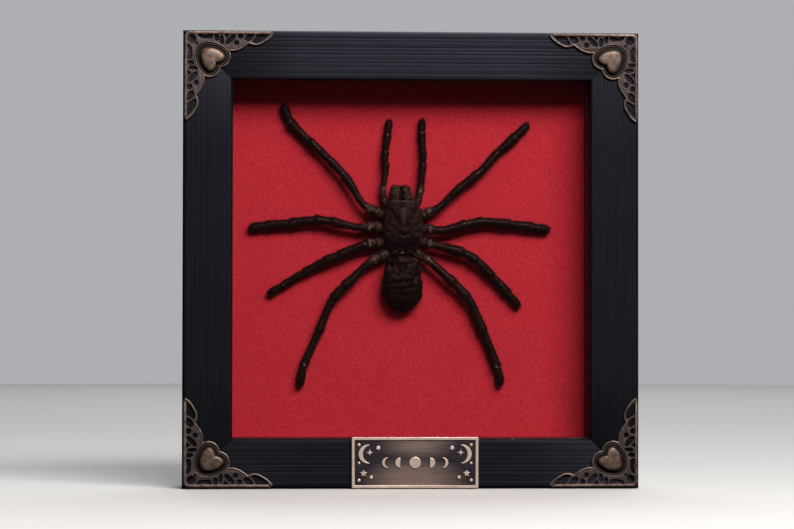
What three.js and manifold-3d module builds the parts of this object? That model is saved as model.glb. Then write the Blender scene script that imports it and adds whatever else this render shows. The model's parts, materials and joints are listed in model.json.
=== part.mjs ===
// A dried tarantula in a shadow-box frame: black reeded rails with bronze corner pieces
// and a bronze plate, glass, red cloth behind the spider, and a hanger on the back.
// Millimetres, +Z up. The origin is at the bottom centre, and the front faces -Y.

import * as THREE from 'three';
import { mergeVertices } from 'three/addons/utils/BufferGeometryUtils.js';
import Module from 'manifold-3d';

const wasm = await Module();
wasm.setup();

// ---------- driving dimensions ----------

const FRAME_SIDE = 203.2;       // outside of the square frame
const FRAME_DEPTH = 32;         // front of the rails to their back
const RAIL_WIDTH = 22.2;
const RAIL_CROWN = 0.1;         // the face falls this much from its middle to its edges
const LIP_THICKNESS = 5;        // wood in front of the glass
const REBATE_WIDTH = 6;         // step behind the lip that holds the glass and the boards
const REED_GROOVES = [3.4, 4.8, 7.4, 9, 10.5, 12.7, 14.3, 16, 19];  // from the rail's outer edge
const REED_GROOVE = { width: 0.8, depth: 0.12 };
const MITRE_GAP = 0.05;         // each mitred end stops this far from the corner's diagonal
const CLEARANCE = 0.3;          // between neighbouring pieces
const TOUCH_GAP = 0.1;          // between pieces that rest on each other
const PANE_PLAY = 0.4;          // round the pane and the boards, which lie loose in the rebate

const GLASS_THICKNESS = 2;
const BACKING_DEPTH = 20;       // front of the rails to the red cloth
const CLOTH_THICKNESS = 0.6;
const BOARD_THICKNESS = 3;
const PANEL_THICKNESS = 3;

const TAB = { width: 8, length: 14, thickness: 0.5, inWood: 2.5, fromMiddle: 45 };
const HANGER = { length: 45, height: 8, thickness: 0.8, rise: 1.6, middle: 22, ramp: 3, fromTop: 8.2 };
const HANGER_TEETH = { count: 9, width: 2.2, depth: 1.5 };
const NAIL = { shank: 0.7, length: 11, head: 2, headHeight: 0.9, fromMiddle: 18.2 };

const PLATE_THICKNESS = 1.2;    // of the corner pieces and of the name plate
const PLATE_GAP = 0.05;         // between them and the crown of the rails
const CORNER = { inset: 0.7, radius: 2.4, heartProud: 2.45 };
const NAME_PLATE = { width: 56.2, height: 22.6, x: 1.6, bottom: 0.2, radius: 0.6, rim: 1.3, relief: 0.5 };

const SPIDER = { x: -3, z: 105 };  // its midline and its waist, from the frame's middle and base

const HALF = FRAME_SIDE / 2;
const FRONT_Y = -FRAME_DEPTH / 2;
const BACK_Y = FRAME_DEPTH / 2;
const REBATE_U = RAIL_WIDTH - REBATE_WIDTH;   // rail's outer edge to the rebate's wall
const CLOTH_Y = FRONT_Y + BACKING_DEPTH;
const BOARD_Y = CLOTH_Y + CLOTH_THICKNESS + CLEARANCE;
const PANEL_Y = BOARD_Y + BOARD_THICKNESS + CLEARANCE;
const TAB_Y = PANEL_Y + PANEL_THICKNESS + CLEARANCE;

// ---------- materials ----------

const finish = (color, roughness, metalness) => new THREE.MeshStandardMaterial({
  color, roughness, metalness,
});
const blackWood = finish(0x1b1a1f, 0.45, 0);
const redCloth = finish(0x9a1c28, 0.9, 0);
const brownBoard = finish(0x7a5a3c, 0.85, 0);
const bronze = finish(0x7d6250, 0.45, 0.8);
const steel = finish(0x9a9a98, 0.35, 0.9);
const darkShell = finish(0x1c1410, 0.5, 0);
const clearGlass = finish(0xf4f8f6, 0.05, 0);

// ---------- geometry helpers ----------

// Only the positions, with shared corners merged and empty triangles dropped.
function weld(geometry) {
  const bare = geometry.clone();
  for (const name of ['normal', 'uv']) bare.deleteAttribute(name);
  const merged = mergeVertices(bare, 1e-4);
  const kept = [];
  for (let i = 0; i < merged.index.count; i += 3) {
    const [a, b, c] = [0, 1, 2].map((corner) => merged.index.getX(i + corner));
    if (a !== b && b !== c && c !== a) kept.push(a, b, c);
  }
  merged.setIndex(kept);
  return merged;
}

function signedVolume(geometry) {
  const corners = [new THREE.Vector3(), new THREE.Vector3(), new THREE.Vector3()];
  let volume = 0;
  for (let i = 0; i < geometry.index.count; i += 3) {
    corners.forEach((p, corner) => {
      p.fromBufferAttribute(geometry.attributes.position, geometry.index.getX(i + corner));
    });
    volume += corners[0].dot(corners[1].cross(corners[2])) / 6;
  }
  return volume;
}

// The same closed surface with its faces pointing outwards.
function facingOut(geometry) {
  const welded = weld(geometry);
  if (signedVolume(welded) < 0) welded.setIndex([...welded.index.array].reverse());
  return welded;
}

function toSolid(geometry) {
  const welded = facingOut(geometry);
  return new wasm.Manifold(new wasm.Mesh({
    numProp: 3,
    vertProperties: new Float32Array(welded.attributes.position.array),
    triVerts: new Uint32Array(welded.index.array),
  }));
}

function fromSolid(solid) {
  const { vertProperties, triVerts } = solid.getMesh();
  const geometry = new THREE.BufferGeometry();
  geometry.setAttribute('position', new THREE.BufferAttribute(vertProperties, 3));
  geometry.setIndex(new THREE.BufferAttribute(triVerts, 1));
  return geometry;
}

const join = (pieces) => fromSolid(pieces.map(toSolid).reduce((all, piece) => all.add(piece)));
const cut = (piece, tools) => fromSolid(
  tools.map(toSolid).reduce((left, tool) => left.subtract(tool), toSolid(piece)),
);

// A solid through a row of rings with equally many points, each end closed from its middle.
function loft(rings) {
  const sides = rings[0].length;
  const points = rings.flat();
  const triangles = [];
  for (let ring = 0; ring + 1 < rings.length; ring++) {
    for (let side = 0; side < sides; side++) {
      const [a, b] = [ring * sides + side, ring * sides + ((side + 1) % sides)];
      triangles.push(a, b, b + sides, a, b + sides, a + sides);
    }
  }
  for (const end of [0, rings.length - 1]) {
    const middle = rings[end].reduce((sum, p) => sum.add(p), new THREE.Vector3()).divideScalar(sides);
    points.push(middle);
    for (let side = 0; side < sides; side++) {
      const pair = [end * sides + side, end * sides + ((side + 1) % sides)];
      triangles.push(...(end === 0 ? pair.reverse() : pair), points.length - 1);
    }
  }
  const geometry = new THREE.BufferGeometry().setFromPoints(points);
  geometry.setIndex(triangles);
  return facingOut(geometry);
}

// A box given by its lowest and highest corners.
function block(low, high) {
  const [size, middle] = [new THREE.Vector3(), new THREE.Vector3()];
  const bounds = new THREE.Box3(new THREE.Vector3(...low), new THREE.Vector3(...high));
  bounds.getSize(size);
  bounds.getCenter(middle);
  return new THREE.BoxGeometry(size.x, size.y, size.z).translate(middle.x, middle.y, middle.z);
}

const shapeOf = (points) => new THREE.Shape(points.map(([x, z]) => new THREE.Vector2(x, z)));

// An outline in X and Z with holes, made thick from y = back towards the front.
function flatPiece(points, holes, thickness, back) {
  const shape = shapeOf(points);
  shape.holes = holes.map((hole) => new THREE.Path(hole.map(([x, z]) => new THREE.Vector2(x, z))));
  const geometry = new THREE.ExtrudeGeometry(shape, { depth: thickness, bevelEnabled: false });
  return geometry.rotateX(Math.PI / 2).translate(0, back, 0);
}

// Points on an ellipse, its long axis turned from X by an angle in degrees.
function ellipse(x, z, halfLength, halfWidth, turnDegrees = 0, sides = 8) {
  const turn = THREE.MathUtils.degToRad(turnDegrees);
  return Array.from({ length: sides }, (_, i) => {
    const angle = (2 * Math.PI * i) / sides;
    const [along, across] = [halfLength * Math.cos(angle), halfWidth * Math.sin(angle)];
    return [
      x + along * Math.cos(turn) - across * Math.sin(turn),
      z + along * Math.sin(turn) + across * Math.cos(turn),
    ];
  });
}

const arc = (x, z, radius, fromDegrees, toDegrees, steps) => Array.from({ length: steps + 1 }, (_, i) => {
  const angle = THREE.MathUtils.degToRad(fromDegrees + ((toDegrees - fromDegrees) * i) / steps);
  return [x + radius * Math.cos(angle), z + radius * Math.sin(angle)];
});

// ---------- placing ----------

const object = new THREE.Group();

function add(name, geometry, material, parent = object) {
  const mesh = new THREE.Mesh(facingOut(geometry), material);
  mesh.name = name;
  parent.add(mesh);
}

// A group turned by quarter turns about the frame's middle, seen from the front as clockwise.
function quarterTurned(quarters) {
  const group = new THREE.Group();
  group.position.z = HALF;
  group.rotation.y = (quarters * Math.PI) / 2;
  object.add(group);
  return group;
}

// ---------- rails ----------

// The section of a rail: u from its outer edge towards the opening, d from its front backwards.
function railSection() {
  const face = (u) => RAIL_CROWN * ((2 * u) / RAIL_WIDTH - 1) ** 2;
  const grooves = REED_GROOVES.flatMap((u) => [
    [u - REED_GROOVE.width / 2, face(u)],
    [u, face(u) + REED_GROOVE.depth],
    [u + REED_GROOVE.width / 2, face(u)],
  ]);
  return [
    [0, FRAME_DEPTH - 0.6], [0, 1.6], [0.35, 0.9], [1, face(1)],
    ...grooves,
    [RAIL_WIDTH - 1, face(1)], [RAIL_WIDTH - 0.3, 1], [RAIL_WIDTH, 1.8], [RAIL_WIDTH, LIP_THICKNESS],
    [REBATE_U, LIP_THICKNESS], [REBATE_U, FRAME_DEPTH], [0.6, FRAME_DEPTH],
  ];
}

// The bottom rail, from the frame's middle. Its ends are mitred: each point lies as far in as u.
function railBlank() {
  const geometry = new THREE.ExtrudeGeometry(shapeOf(railSection()), { depth: 1, bevelEnabled: false });
  const position = geometry.attributes.position;
  for (let i = 0; i < position.count; i++) {
    const [u, d, end] = [position.getX(i), position.getY(i), position.getZ(i) * 2 - 1];
    position.setXYZ(i, end * (HALF - u - MITRE_GAP), FRONT_Y + d, u - HALF);
  }
  return geometry;
}

function tabSlot(side) {
  const [x, halfWidth] = [side * TAB.fromMiddle, TAB.width / 2 + CLEARANCE];
  const wall = REBATE_U - HALF;
  return block(
    [x - halfWidth, TAB_Y - CLEARANCE, wall - TAB.inWood - CLEARANCE],
    [x + halfWidth, TAB_Y + TAB.thickness + CLEARANCE, wall + 1],
  );
}

function nailHole(side) {
  const radius = NAIL.shank + CLEARANCE;
  const depth = NAIL.length + 2;
  return new THREE.CylinderGeometry(radius, radius, depth, 6)
    .translate(side * NAIL.fromMiddle, BACK_Y + 1 - depth / 2, HANGER.fromTop - HALF);
}

const railQuarters = { rail_bottom: 0, rail_left: 1, rail_top: 2, rail_right: 3 };
for (const [name, quarters] of Object.entries(railQuarters)) {
  const tools = [tabSlot(-1), tabSlot(1)];
  if (name === 'rail_top') tools.push(nailHole(-1), nailHole(1));
  add(name, cut(railBlank(), tools), blackWood, quarterTurned(quarters));
}

// ---------- glass, spacers, cloth and boards ----------

const paneEdge = HALF - REBATE_U - PANE_PLAY;
const layer = (front, thickness) => block(
  [-paneEdge, front, HALF - paneEdge],
  [paneEdge, front + thickness, HALF + paneEdge],
);

const GLASS_Y = FRONT_Y + LIP_THICKNESS + CLEARANCE;
add('glass_pane', layer(GLASS_Y, GLASS_THICKNESS), clearGlass);
add('backing_cloth', layer(CLOTH_Y, CLOTH_THICKNESS), redCloth);
add('backing_board', layer(BOARD_Y, BOARD_THICKNESS), brownBoard);
add('back_panel', layer(PANEL_Y, PANEL_THICKNESS), brownBoard);

const linerFront = GLASS_Y + GLASS_THICKNESS + CLEARANCE;
const linerBack = CLOTH_Y - TOUCH_GAP;
const linerOut = HALF - REBATE_U - CLEARANCE;
const linerIn = HALF - RAIL_WIDTH;
for (const [name, side] of [['liner_bottom', -1], ['liner_top', 1]]) {
  const [low, high] = side < 0 ? [-linerOut, -linerIn] : [linerIn, linerOut];
  add(name, block([-linerOut, linerFront, HALF + low], [linerOut, linerBack, HALF + high]), redCloth);
}
for (const [name, side] of [['liner_left', -1], ['liner_right', 1]]) {
  const [low, high] = side < 0 ? [-linerOut, -linerIn] : [linerIn, linerOut];
  const end = linerIn - CLEARANCE;
  add(name, block([low, linerFront, HALF - end], [high, linerBack, HALF + end]), redCloth);
}

// ---------- back fittings ----------

// A tab in the rebate of the bottom rail, from the frame's middle: square in the wood, round on the panel.
function panelTab(side) {
  const [x, halfWidth, foot] = [side * TAB.fromMiddle, TAB.width / 2, REBATE_U - HALF - TAB.inWood];
  const straight = foot + TAB.length - halfWidth;
  return flatPiece(
    [[x - halfWidth, foot], [x + halfWidth, foot], ...arc(x, straight, halfWidth, 0, 180, 5)],
    [], TAB.thickness, TAB_Y + TAB.thickness,
  );
}

Object.values(railQuarters).forEach((quarters, i) => {
  add(`panel_tab_${2 * i + 1}`, panelTab(-1), steel, quarterTurned(quarters));
  add(`panel_tab_${2 * i + 2}`, panelTab(1), steel, quarterTurned(quarters));
});

// The hanger's strip is flat at its ends and bowed out in the middle, where its lower edge has teeth.
function hanger() {
  const { length, height, thickness, rise, middle, ramp } = HANGER;
  const bow = [[length / 2, 0], [middle / 2 + ramp, 0], [middle / 2, rise], [-middle / 2, rise],
    [-middle / 2 - ramp, 0], [-length / 2, 0]];
  const back = bow.map(([x, y]) => [x, y + thickness]).reverse();
  const strip = new THREE.ExtrudeGeometry(shapeOf([...bow, ...back]), { depth: height, bevelEnabled: false });
  const bottom = FRAME_SIDE - HANGER.fromTop - height / 2;
  strip.translate(0, BACK_Y + TOUCH_GAP, bottom);
  const { count, width, depth } = HANGER_TEETH;
  const notches = Array.from({ length: count }, (_, i) => {
    const x = (i - (count - 1) / 2) * width;
    const tooth = [[x - width / 2, bottom - 1], [x + width / 2, bottom - 1], [x, bottom + depth]];
    return flatPiece(tooth, [], 6, BACK_Y + 5);
  });
  const holes = [-1, 1].map((side) => new THREE.CylinderGeometry(1, 1, 6, 8)
    .translate(side * NAIL.fromMiddle, BACK_Y, bottom + height / 2));
  return cut(strip, [...notches, ...holes]);
}
add('hanger', hanger(), steel);

// The lathe's axis is Y: the shank runs forwards into the wood, and the head is behind the hanger.
function nail(side) {
  const { shank, length, head, headHeight } = NAIL;
  const section = [[0, -length], [shank, -length + 1], [shank, 0], [head, 0], [head, headHeight * 0.4],
    [head * 0.6, headHeight * 0.9], [0, headHeight]];
  const under = BACK_Y + TOUCH_GAP + HANGER.thickness + CLEARANCE;
  return new THREE.LatheGeometry(section.map(([r, y]) => new THREE.Vector2(r, y)), 8)
    .translate(side * NAIL.fromMiddle, under, FRAME_SIDE - HANGER.fromTop);
}
add('hanger_nail_left', nail(-1), steel);
add('hanger_nail_right', nail(1), steel);

// ---------- corner pieces ----------

// Everything below is measured along one arm (first number) and in from the frame's edge
// (second number), from the piece's own corner. The other arm is its mirror across the diagonal.
const swapped = (points) => points.map(([a, b]) => [b, a]).reverse();

const armEdge = [
  [38.6, 0], [39.4, 0.6], [39.1, 1.5], [37.6, 3.2], [35.3, 4.7], [33, 5.9], [31, 6.1], [29.4, 5.7],
  [28.5, 5.3], [27.5, 6.1], [25.6, 7.4], [23.4, 8.4], [21.3, 8.8], [19.9, 8.5],
  [20.5, 11.1], [19.5, 14], [17.5, 15.6], [16, 16],
];
const armHoles = [
  [[6, 1.5], [7.1, 1.3], [8.4, 1.9], [12.1, 1.3], [12.3, 2.2], [11.6, 3], [9.6, 3.1], [6.6, 2.4]],
  ellipse(14.1, 2.6, 1.45, 0.85, 80, 6),
  ellipse(16.4, 3.8, 1.9, 0.75, 85, 6),
  [[17.6, 1.3], [19.6, 1.25], [18.5, 2.8]],
  ellipse(20.2, 3.6, 2.75, 1, -43, 8),
  ellipse(24.7, 2.25, 1.05, 1, 0, 6),
  ellipse(22.9, 5.1, 1, 0.95, 0, 6),
  [[26.6, 3.2], [27.7, 1.7], [30.5, 1.3], [29.9, 2.9], [28.5, 4], [26.9, 3.8]],
  [[30.3, 4.6], [32.1, 1.6], [37.2, 1.3], [35.8, 2.9], [33.4, 4.5], [31.4, 5]],
];
const elbowHoles = [ellipse(3.4, 3.2, 1.75, 1.7, 0, 8), ellipse(5.3, 5.3, 0.8, 0.75, 0, 6)];
const heartEdge = [
  [7.75, 7.75], [8.7, 7.1], [11.3, 6.85], [14.9, 7.9], [17.3, 9.8], [17.8, 11.2], [16.8, 12.8],
  [14.9, 13.7], [13.8, 13.8],
];
const heartMiddle = [12.4, 12.4];
const heartLevels = [[1, 0.6], [1, 1.35], [0.85, 2.15], [0.5, 2.4]];  // size of the outline, its height

function heartDome(back) {
  const edge = [...heartEdge, ...swapped(heartEdge).slice(1, -1)];
  return loft(heartLevels.map(([size, height]) => edge.map(([a, b]) => new THREE.Vector3(
    heartMiddle[0] + (a - heartMiddle[0]) * size,
    back - height * (CORNER.heartProud / heartLevels.at(-1)[1]),
    heartMiddle[1] + (b - heartMiddle[1]) * size,
  ))));
}

function cornerPiece() {
  const elbow = arc(CORNER.radius, CORNER.radius, CORNER.radius, 180, 270, 3);
  const edge = [...elbow, ...armEdge, ...swapped(armEdge).slice(1)];
  const holes = [...elbowHoles, ...armHoles, ...armHoles.map(swapped)];
  const plate = flatPiece(edge, holes, PLATE_THICKNESS, FRONT_Y - PLATE_GAP);
  const start = CORNER.inset - HALF;
  return join([plate, heartDome(FRONT_Y - PLATE_GAP)]).translate(start, 0, start);
}

const cornerQuarters = {
  corner_bottom_left: 0, corner_top_left: 1, corner_top_right: 2, corner_bottom_right: 3,
};
for (const [name, quarters] of Object.entries(cornerQuarters)) {
  add(name, cornerPiece(), bronze, quarterTurned(quarters));
}

// ---------- name plate ----------

function roundedRectangle(halfWidth, halfHeight, radius) {
  return [[1, 1, 0], [-1, 1, 90], [-1, -1, 180], [1, -1, 270]].flatMap(([sx, sz, start]) => arc(
    sx * (halfWidth - radius), sz * (halfHeight - radius), radius, start, start + 90, 2,
  ));
}

function star(x, z, tips, outer, inner) {
  return Array.from({ length: 2 * tips }, (_, i) => {
    const [radius, angle] = [i % 2 ? inner : outer, Math.PI / 2 + (i * Math.PI) / tips];
    return [x + radius * Math.cos(angle), z + radius * Math.sin(angle)];
  });
}

// A moon lit from one side: the second circle, moved by shift, takes a bite out of the first.
function crescent(x, z, radius, shift, facing) {
  const tip = THREE.MathUtils.radToDeg(Math.acos(shift / 2 / radius));
  const outer = arc(0, 0, radius, tip, 360 - tip, 8);
  const inner = arc(shift, 0, radius, 180 + tip, 180 - tip, 6).slice(1, -1);
  return [...outer, ...inner].map(([a, b]) => [x + facing * a, z + b]);
}

// Dots at each end of the plate: place from its middle, and radius.
const plateDots = [
  [24.9, 7.9, 0.7], [16.4, 6.5, 0.95], [24.9, -0.2, 0.6], [19.5, -6.5, 0.8], [24.9, -7.8, 0.7],
];

function namePlate() {
  const { width, height, radius, rim, relief } = NAME_PLATE;
  const back = FRONT_Y - PLATE_GAP;
  const edge = roundedRectangle(width / 2, height / 2, radius);
  const sunk = PLATE_THICKNESS / 2;
  const tall = PLATE_THICKNESS + relief - sunk;
  const raised = (points, holes = []) => flatPiece(points, holes, tall, back - sunk);
  const pieces = [
    flatPiece(edge, [], PLATE_THICKNESS, back),
    raised(edge, [roundedRectangle(width / 2 - rim, height / 2 - rim, radius / 2)]),
  ];
  for (const side of [-1, 1]) {
    pieces.push(raised(crescent(side * 21, 3.8, 4.15, 1.9, -side)));
    pieces.push(raised(star(side * 20.2, 4.5, 4, 1.5, 0.55)));
    pieces.push(raised(star(side * 22.9, -4.7, 5, 1.65, 0.75)));
    for (const [x, z, r] of plateDots) pieces.push(raised(ellipse(side * x, z, r, r, 0, 6)));
    pieces.push(raised(crescent(side * 12.4, 0, 2.3, 1.2, -side)));
    pieces.push(raised(arc(side * 6.6, 0, 2.3, side * 90 - 180, side * 90, 6)));
  }
  pieces.push(raised(ellipse(0, 0, 2.6, 2.6, 0, 12)));
  return join(pieces).translate(NAME_PLATE.x, 0, NAME_PLATE.bottom + height / 2);
}
add('name_plate', namePlate(), bronze);

// ---------- spider ----------

// A point right of the spider's midline, above its waist, and in front of the cloth.
const onSpider = (x, z, height) => new THREE.Vector3(SPIDER.x + x, CLOTH_Y - height, SPIDER.z + z);

const LIMB_SIDES = 8;
const LIMB_FLATNESS = 0.92;      // a limb's thickness to its width

// A limb through stations of [x, z, width], at the given heights, with a rounded far end.
function limb(stations, heights) {
  const last = stations.at(-1);
  const beforeLast = stations.at(-2);
  const reach = (0.35 * last[2]) / Math.hypot(last[0] - beforeLast[0], last[1] - beforeLast[1]);
  const tip = [0, 1].map((axis) => last[axis] + reach * (last[axis] - beforeLast[axis]));
  const all = [...stations, [...tip, last[2] * 0.5]];
  const centres = all.map(([x, z], i) => onSpider(x, z, heights[Math.min(i, heights.length - 1)]));
  const rings = all.map(([, , width], i) => {
    const [from, to] = [centres[Math.max(i - 1, 0)], centres[Math.min(i + 1, all.length - 1)]];
    const along = to.clone().sub(from).normalize();
    const across = new THREE.Vector3().crossVectors(along, new THREE.Vector3(0, -1, 0)).normalize();
    const out = new THREE.Vector3().crossVectors(across, along);
    return Array.from({ length: LIMB_SIDES }, (_, side) => {
      const angle = (2 * Math.PI * (side + 0.5)) / LIMB_SIDES;
      return centres[i].clone()
        .addScaledVector(across, (width / 2) * Math.cos(angle))
        .addScaledVector(out, (width / 2) * LIMB_FLATNESS * Math.sin(angle));
    });
  });
  return loft(rings);
}

// Heights of a limb's stations above the cloth. A leg's stations are the root and end of the hip,
// ring joint, thigh (3), knee, shin (2), and foot (5) to the claws.
const LEG_HEIGHTS = [3.8, 4.2, 4.5, 4.8, 4.8, 4.7, 4.5, 4, 3.6, 3.2, 2.8, 2.5, 2.4, 2.2];
const PALP_HEIGHTS = [3.2, 3.5, 3.7, 3.8, 3.7, 3.6, 3.2, 2.9, 2.5, 2.2, 2.1];

const limbs = {
  leg_left_1: [
    [-6.2, 15, 4.3], [-9, 16.8, 4.8], [-13, 19, 5.4], [-15.5, 19.4, 4.6], [-19.4, 23, 3.2],
    [-22.1, 28.4, 3.7], [-26, 34.4, 4], [-32.7, 41.3, 3.9], [-37.2, 45.7, 3.8], [-42, 50, 4],
    [-47, 54.5, 4.1], [-51, 59, 3.9], [-52.7, 63, 4.6], [-53.4, 65, 3.5],
  ],
  leg_left_2: [
    [-6.2, 10.2, 4.3], [-9, 11, 4.8], [-13, 12, 5.6], [-15.5, 11.3, 4.8], [-20, 11.2, 3.8],
    [-24.5, 12.1, 3.6], [-32, 14, 4.4], [-39.5, 14.8, 4.3], [-45.5, 13.9, 4.3], [-50.5, 13, 4.3],
    [-56, 12.7, 4.2], [-61.5, 12.1, 4.1], [-66, 11.5, 4.3], [-67.8, 11.1, 3.3],
  ],
  leg_left_3: [
    [-6.2, 5.4, 4.3], [-9, 4.6, 4.8], [-12.5, 4.4, 5.4], [-15.5, 4, 4.8], [-19.3, 2.8, 4.4],
    [-24, 1, 4.2], [-28, -1, 4.2], [-35.5, -4, 4.4], [-39.9, -6.5, 3.5], [-44.3, -8.9, 3.3],
    [-49.3, -11.7, 3.2], [-53.7, -14.7, 3], [-57.7, -17.1, 3.6], [-59.3, -18, 2.8],
  ],
  leg_left_4: [
    [-3.7, 2.1, 3.6], [-8, -0.6, 4.8], [-10.3, -1.9, 5.2], [-13, -2.8, 4.6], [-19, -7.6, 3.2],
    [-22.1, -11.4, 4.2], [-25.8, -14.6, 4.6], [-31.8, -20.8, 4.6], [-34.1, -26.2, 3.1],
    [-37.8, -36.2, 4.3], [-40.9, -42.4, 3.1], [-44.6, -51, 3.6], [-45.7, -55.8, 4.2],
    [-46, -59, 3.2],
  ],
  leg_right_1: [
    [6.2, 15, 4.3], [8.2, 16.6, 4.6], [10, 17.8, 5], [12.2, 18.5, 4.6], [16, 19.8, 4],
    [19.8, 23.7, 2.9], [26.1, 30.1, 4], [34.8, 36, 4.1], [39, 41, 3.7], [42.8, 45.5, 3.4],
    [46.8, 48.6, 4.4], [51, 52.6, 4.2], [53.8, 55.4, 4], [56.1, 57.5, 2.9],
  ],
  leg_right_2: [
    [6.2, 10.2, 4.3], [8.4, 11, 4.6], [10.4, 10.8, 5], [12.6, 10.4, 4.6], [16.6, 9.8, 4.4],
    [22, 10.6, 4.1], [28, 12.8, 4.6], [36.5, 14.4, 4.3], [42.5, 13.7, 4.1], [48.5, 13, 4.2],
    [53.6, 12.4, 4.2], [58.8, 11.7, 4.1], [62.7, 11.1, 4.4], [65.3, 10.8, 3.2],
  ],
  leg_right_3: [
    [6.2, 5.3, 4.3], [8.3, 4.8, 4.6], [10.4, 4.6, 4.8], [12.6, 4, 4.4], [16.6, 3, 4.4],
    [21, 1.8, 4.5], [27, 0.5, 4.3], [33.6, -3.5, 4.3], [37, -7, 4.3], [40.3, -10.5, 3.6],
    [44.4, -14.5, 4.2], [48, -18.6, 3.8], [50.4, -21.3, 3.8], [52.1, -23.4, 2.8],
  ],
  leg_right_4: [
    [3.9, 2.1, 3.6], [7.4, -0.9, 4.4], [9.1, -1.7, 4.6], [11.3, -3.1, 4.2], [15.7, -7, 4.2],
    [19.5, -10.5, 4], [22.3, -13.1, 4.6], [29.7, -20, 4.6], [32.8, -26.9, 4.4], [36.5, -35.6, 4.1],
    [39.7, -43.2, 3.9], [43, -52, 3.9], [44, -56.4, 4.3], [44.1, -58.6, 3.1],
  ],
  pedipalp_left: [
    [-5.6, 19.6, 2.6], [-7.2, 21.6, 3], [-8.8, 24, 3.3], [-9.2, 28.8, 2.8], [-8, 34, 2.7],
    [-7.5, 37.8, 3], [-8.2, 42.2, 3.2], [-7.9, 46.3, 3.3], [-7.2, 50.4, 3.1], [-6.6, 54.9, 3.8],
    [-6.2, 58.6, 3],
  ],
  pedipalp_right: [
    [5.2, 19.4, 2.6], [6.4, 21.2, 2.8], [7.1, 23.8, 3.2], [7.9, 28.2, 3.4], [8.6, 33.6, 3.1],
    [8.8, 37.7, 3.2], [9.4, 41.8, 3], [9, 46.8, 3.5], [8.6, 51.8, 3.1], [8.6, 55.9, 3.7],
    [8.7, 59.2, 2.9],
  ],
};
for (const [name, stations] of Object.entries(limbs)) {
  add(name, limb(stations, name.startsWith('leg') ? LEG_HEIGHTS : PALP_HEIGHTS), darkShell);
}

// A body through stations of [z, x, half width, height, half thickness] along Z.
// lumps makes its skin uneven by that share of its size.
function roundBody(stations, sides, lumps = 0) {
  return loft(stations.map(([z, x, halfWidth, height, halfThickness]) => (
    Array.from({ length: sides }, (_, side) => {
      const angle = (2 * Math.PI * side) / sides;
      const size = 1 + lumps * Math.cos(3 * angle + z) * Math.sin(0.9 * z);
      const [across, out] = [size * halfWidth * Math.cos(angle), size * halfThickness * Math.sin(angle)];
      return onSpider(x + across, z, height + out);
    })
  )));
}

add('abdomen', roundBody([
  [-1.9, 0, 5.6, 6.8, 2], [-3, 0, 7, 6.9, 2.8], [-5.5, -0.1, 7.9, 6.2, 4.2], [-10, -0.2, 8.8, 5.8, 5],
  [-15.8, -0.4, 9.3, 5.7, 5], [-19, -0.3, 8.7, 5.4, 4.7], [-21.5, -0.2, 7.5, 5.2, 4.3],
  [-24.1, -0.2, 5.6, 4.6, 3.4], [-26, -0.1, 3.2, 4.2, 1.9],
], 16, 0.03), darkShell);
add('chelicera_left', roundBody([
  [23.8, -3.8, 2.6, 5.6, 2.6], [25, -3.7, 2.8, 5.8, 3], [27, -3.7, 2.6, 5.8, 3.1],
  [29.5, -3.5, 2.1, 5.4, 2.8], [30.8, -3.4, 1.4, 4.6, 1.8],
], 10), darkShell);
add('chelicera_right', roundBody([
  [23.8, 2, 2.5, 5.6, 2.6], [25, 2, 2.6, 5.8, 3], [27, 1.6, 2.5, 5.8, 3.1],
  [29.5, 1, 2, 5.4, 2.8], [30.8, 0.8, 1.3, 4.6, 1.8],
], 10), darkShell);

// One section of the front body: a domed shield over a narrower breastplate. The hips lie between them.
const DOME_STEPS = [0.88, 0.55];
function bodySection({ z, x = 0, shield, top, rim = 7.7, breast, bottom = 1.3 }) {
  const dome = (share) => [shield * share, rim + (top - rim) * Math.sqrt(1 - share ** 2)];
  const rightHalf = [
    [breast * 0.6, bottom], [breast, bottom + 0.8], [breast, rim - 0.8],
    [shield * 0.93, rim - 0.6], [shield, rim], ...DOME_STEPS.map(dome),
  ];
  const leftHalf = rightHalf.map(([a, height]) => [-a, height]).reverse();
  return [...rightHalf, [0, top], ...leftHalf].map(([a, height]) => onSpider(x + a, z, height));
}

const bodySections = [
  { z: -1.4, shield: 4.2, top: 7.4, rim: 6.6, breast: 1.1, bottom: 4.6 },
  { z: 0.8, shield: 4.8, top: 7.6, rim: 6.7, breast: 1.1, bottom: 4.4 },
  { z: 1.4, x: 0.2, shield: 6.1, top: 8.4, rim: 7.6, breast: 1.4, bottom: 3 },
  { z: 3, x: 0.2, shield: 7.2, top: 9.2, breast: 2.6, bottom: 2 },
  { z: 5.7, x: 0.2, shield: 8.5, top: 10, breast: 3.8 },
  { z: 9.3, x: 0.1, shield: 9, top: 10.4, breast: 4.2 },
  { z: 14.7, shield: 9, top: 10.8, breast: 4 },
  { z: 18, shield: 8.3, top: 10.9, breast: 3.4 },
  { z: 20.5, x: -0.2, shield: 7.3, top: 10.7, breast: 2.6, bottom: 1.6 },
  { z: 22.3, x: -0.4, shield: 6.5, top: 10, breast: 2, bottom: 2.4 },
  { z: 23.3, x: -0.4, shield: 5.9, top: 9, breast: 1.6, bottom: 3.4 },
];
add('carapace', loft(bodySections.map(bodySection)), darkShell);

export default object;
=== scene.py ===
# %% [markdown]
# # A framed tarantula
#
# A dried tarantula lies spread on red cloth in a small black shadow box. The frame has reeded rails, bronze
# corner pieces with a heart, and a bronze plate with moons and stars. The solids come from the packed
# model. Every cell below gives one of them, or a small group, the shape and finish of the real thing.

import json
import math

import bmesh
import bpy
import numpy as np
from mathutils import Matrix, Vector, noise

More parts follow.
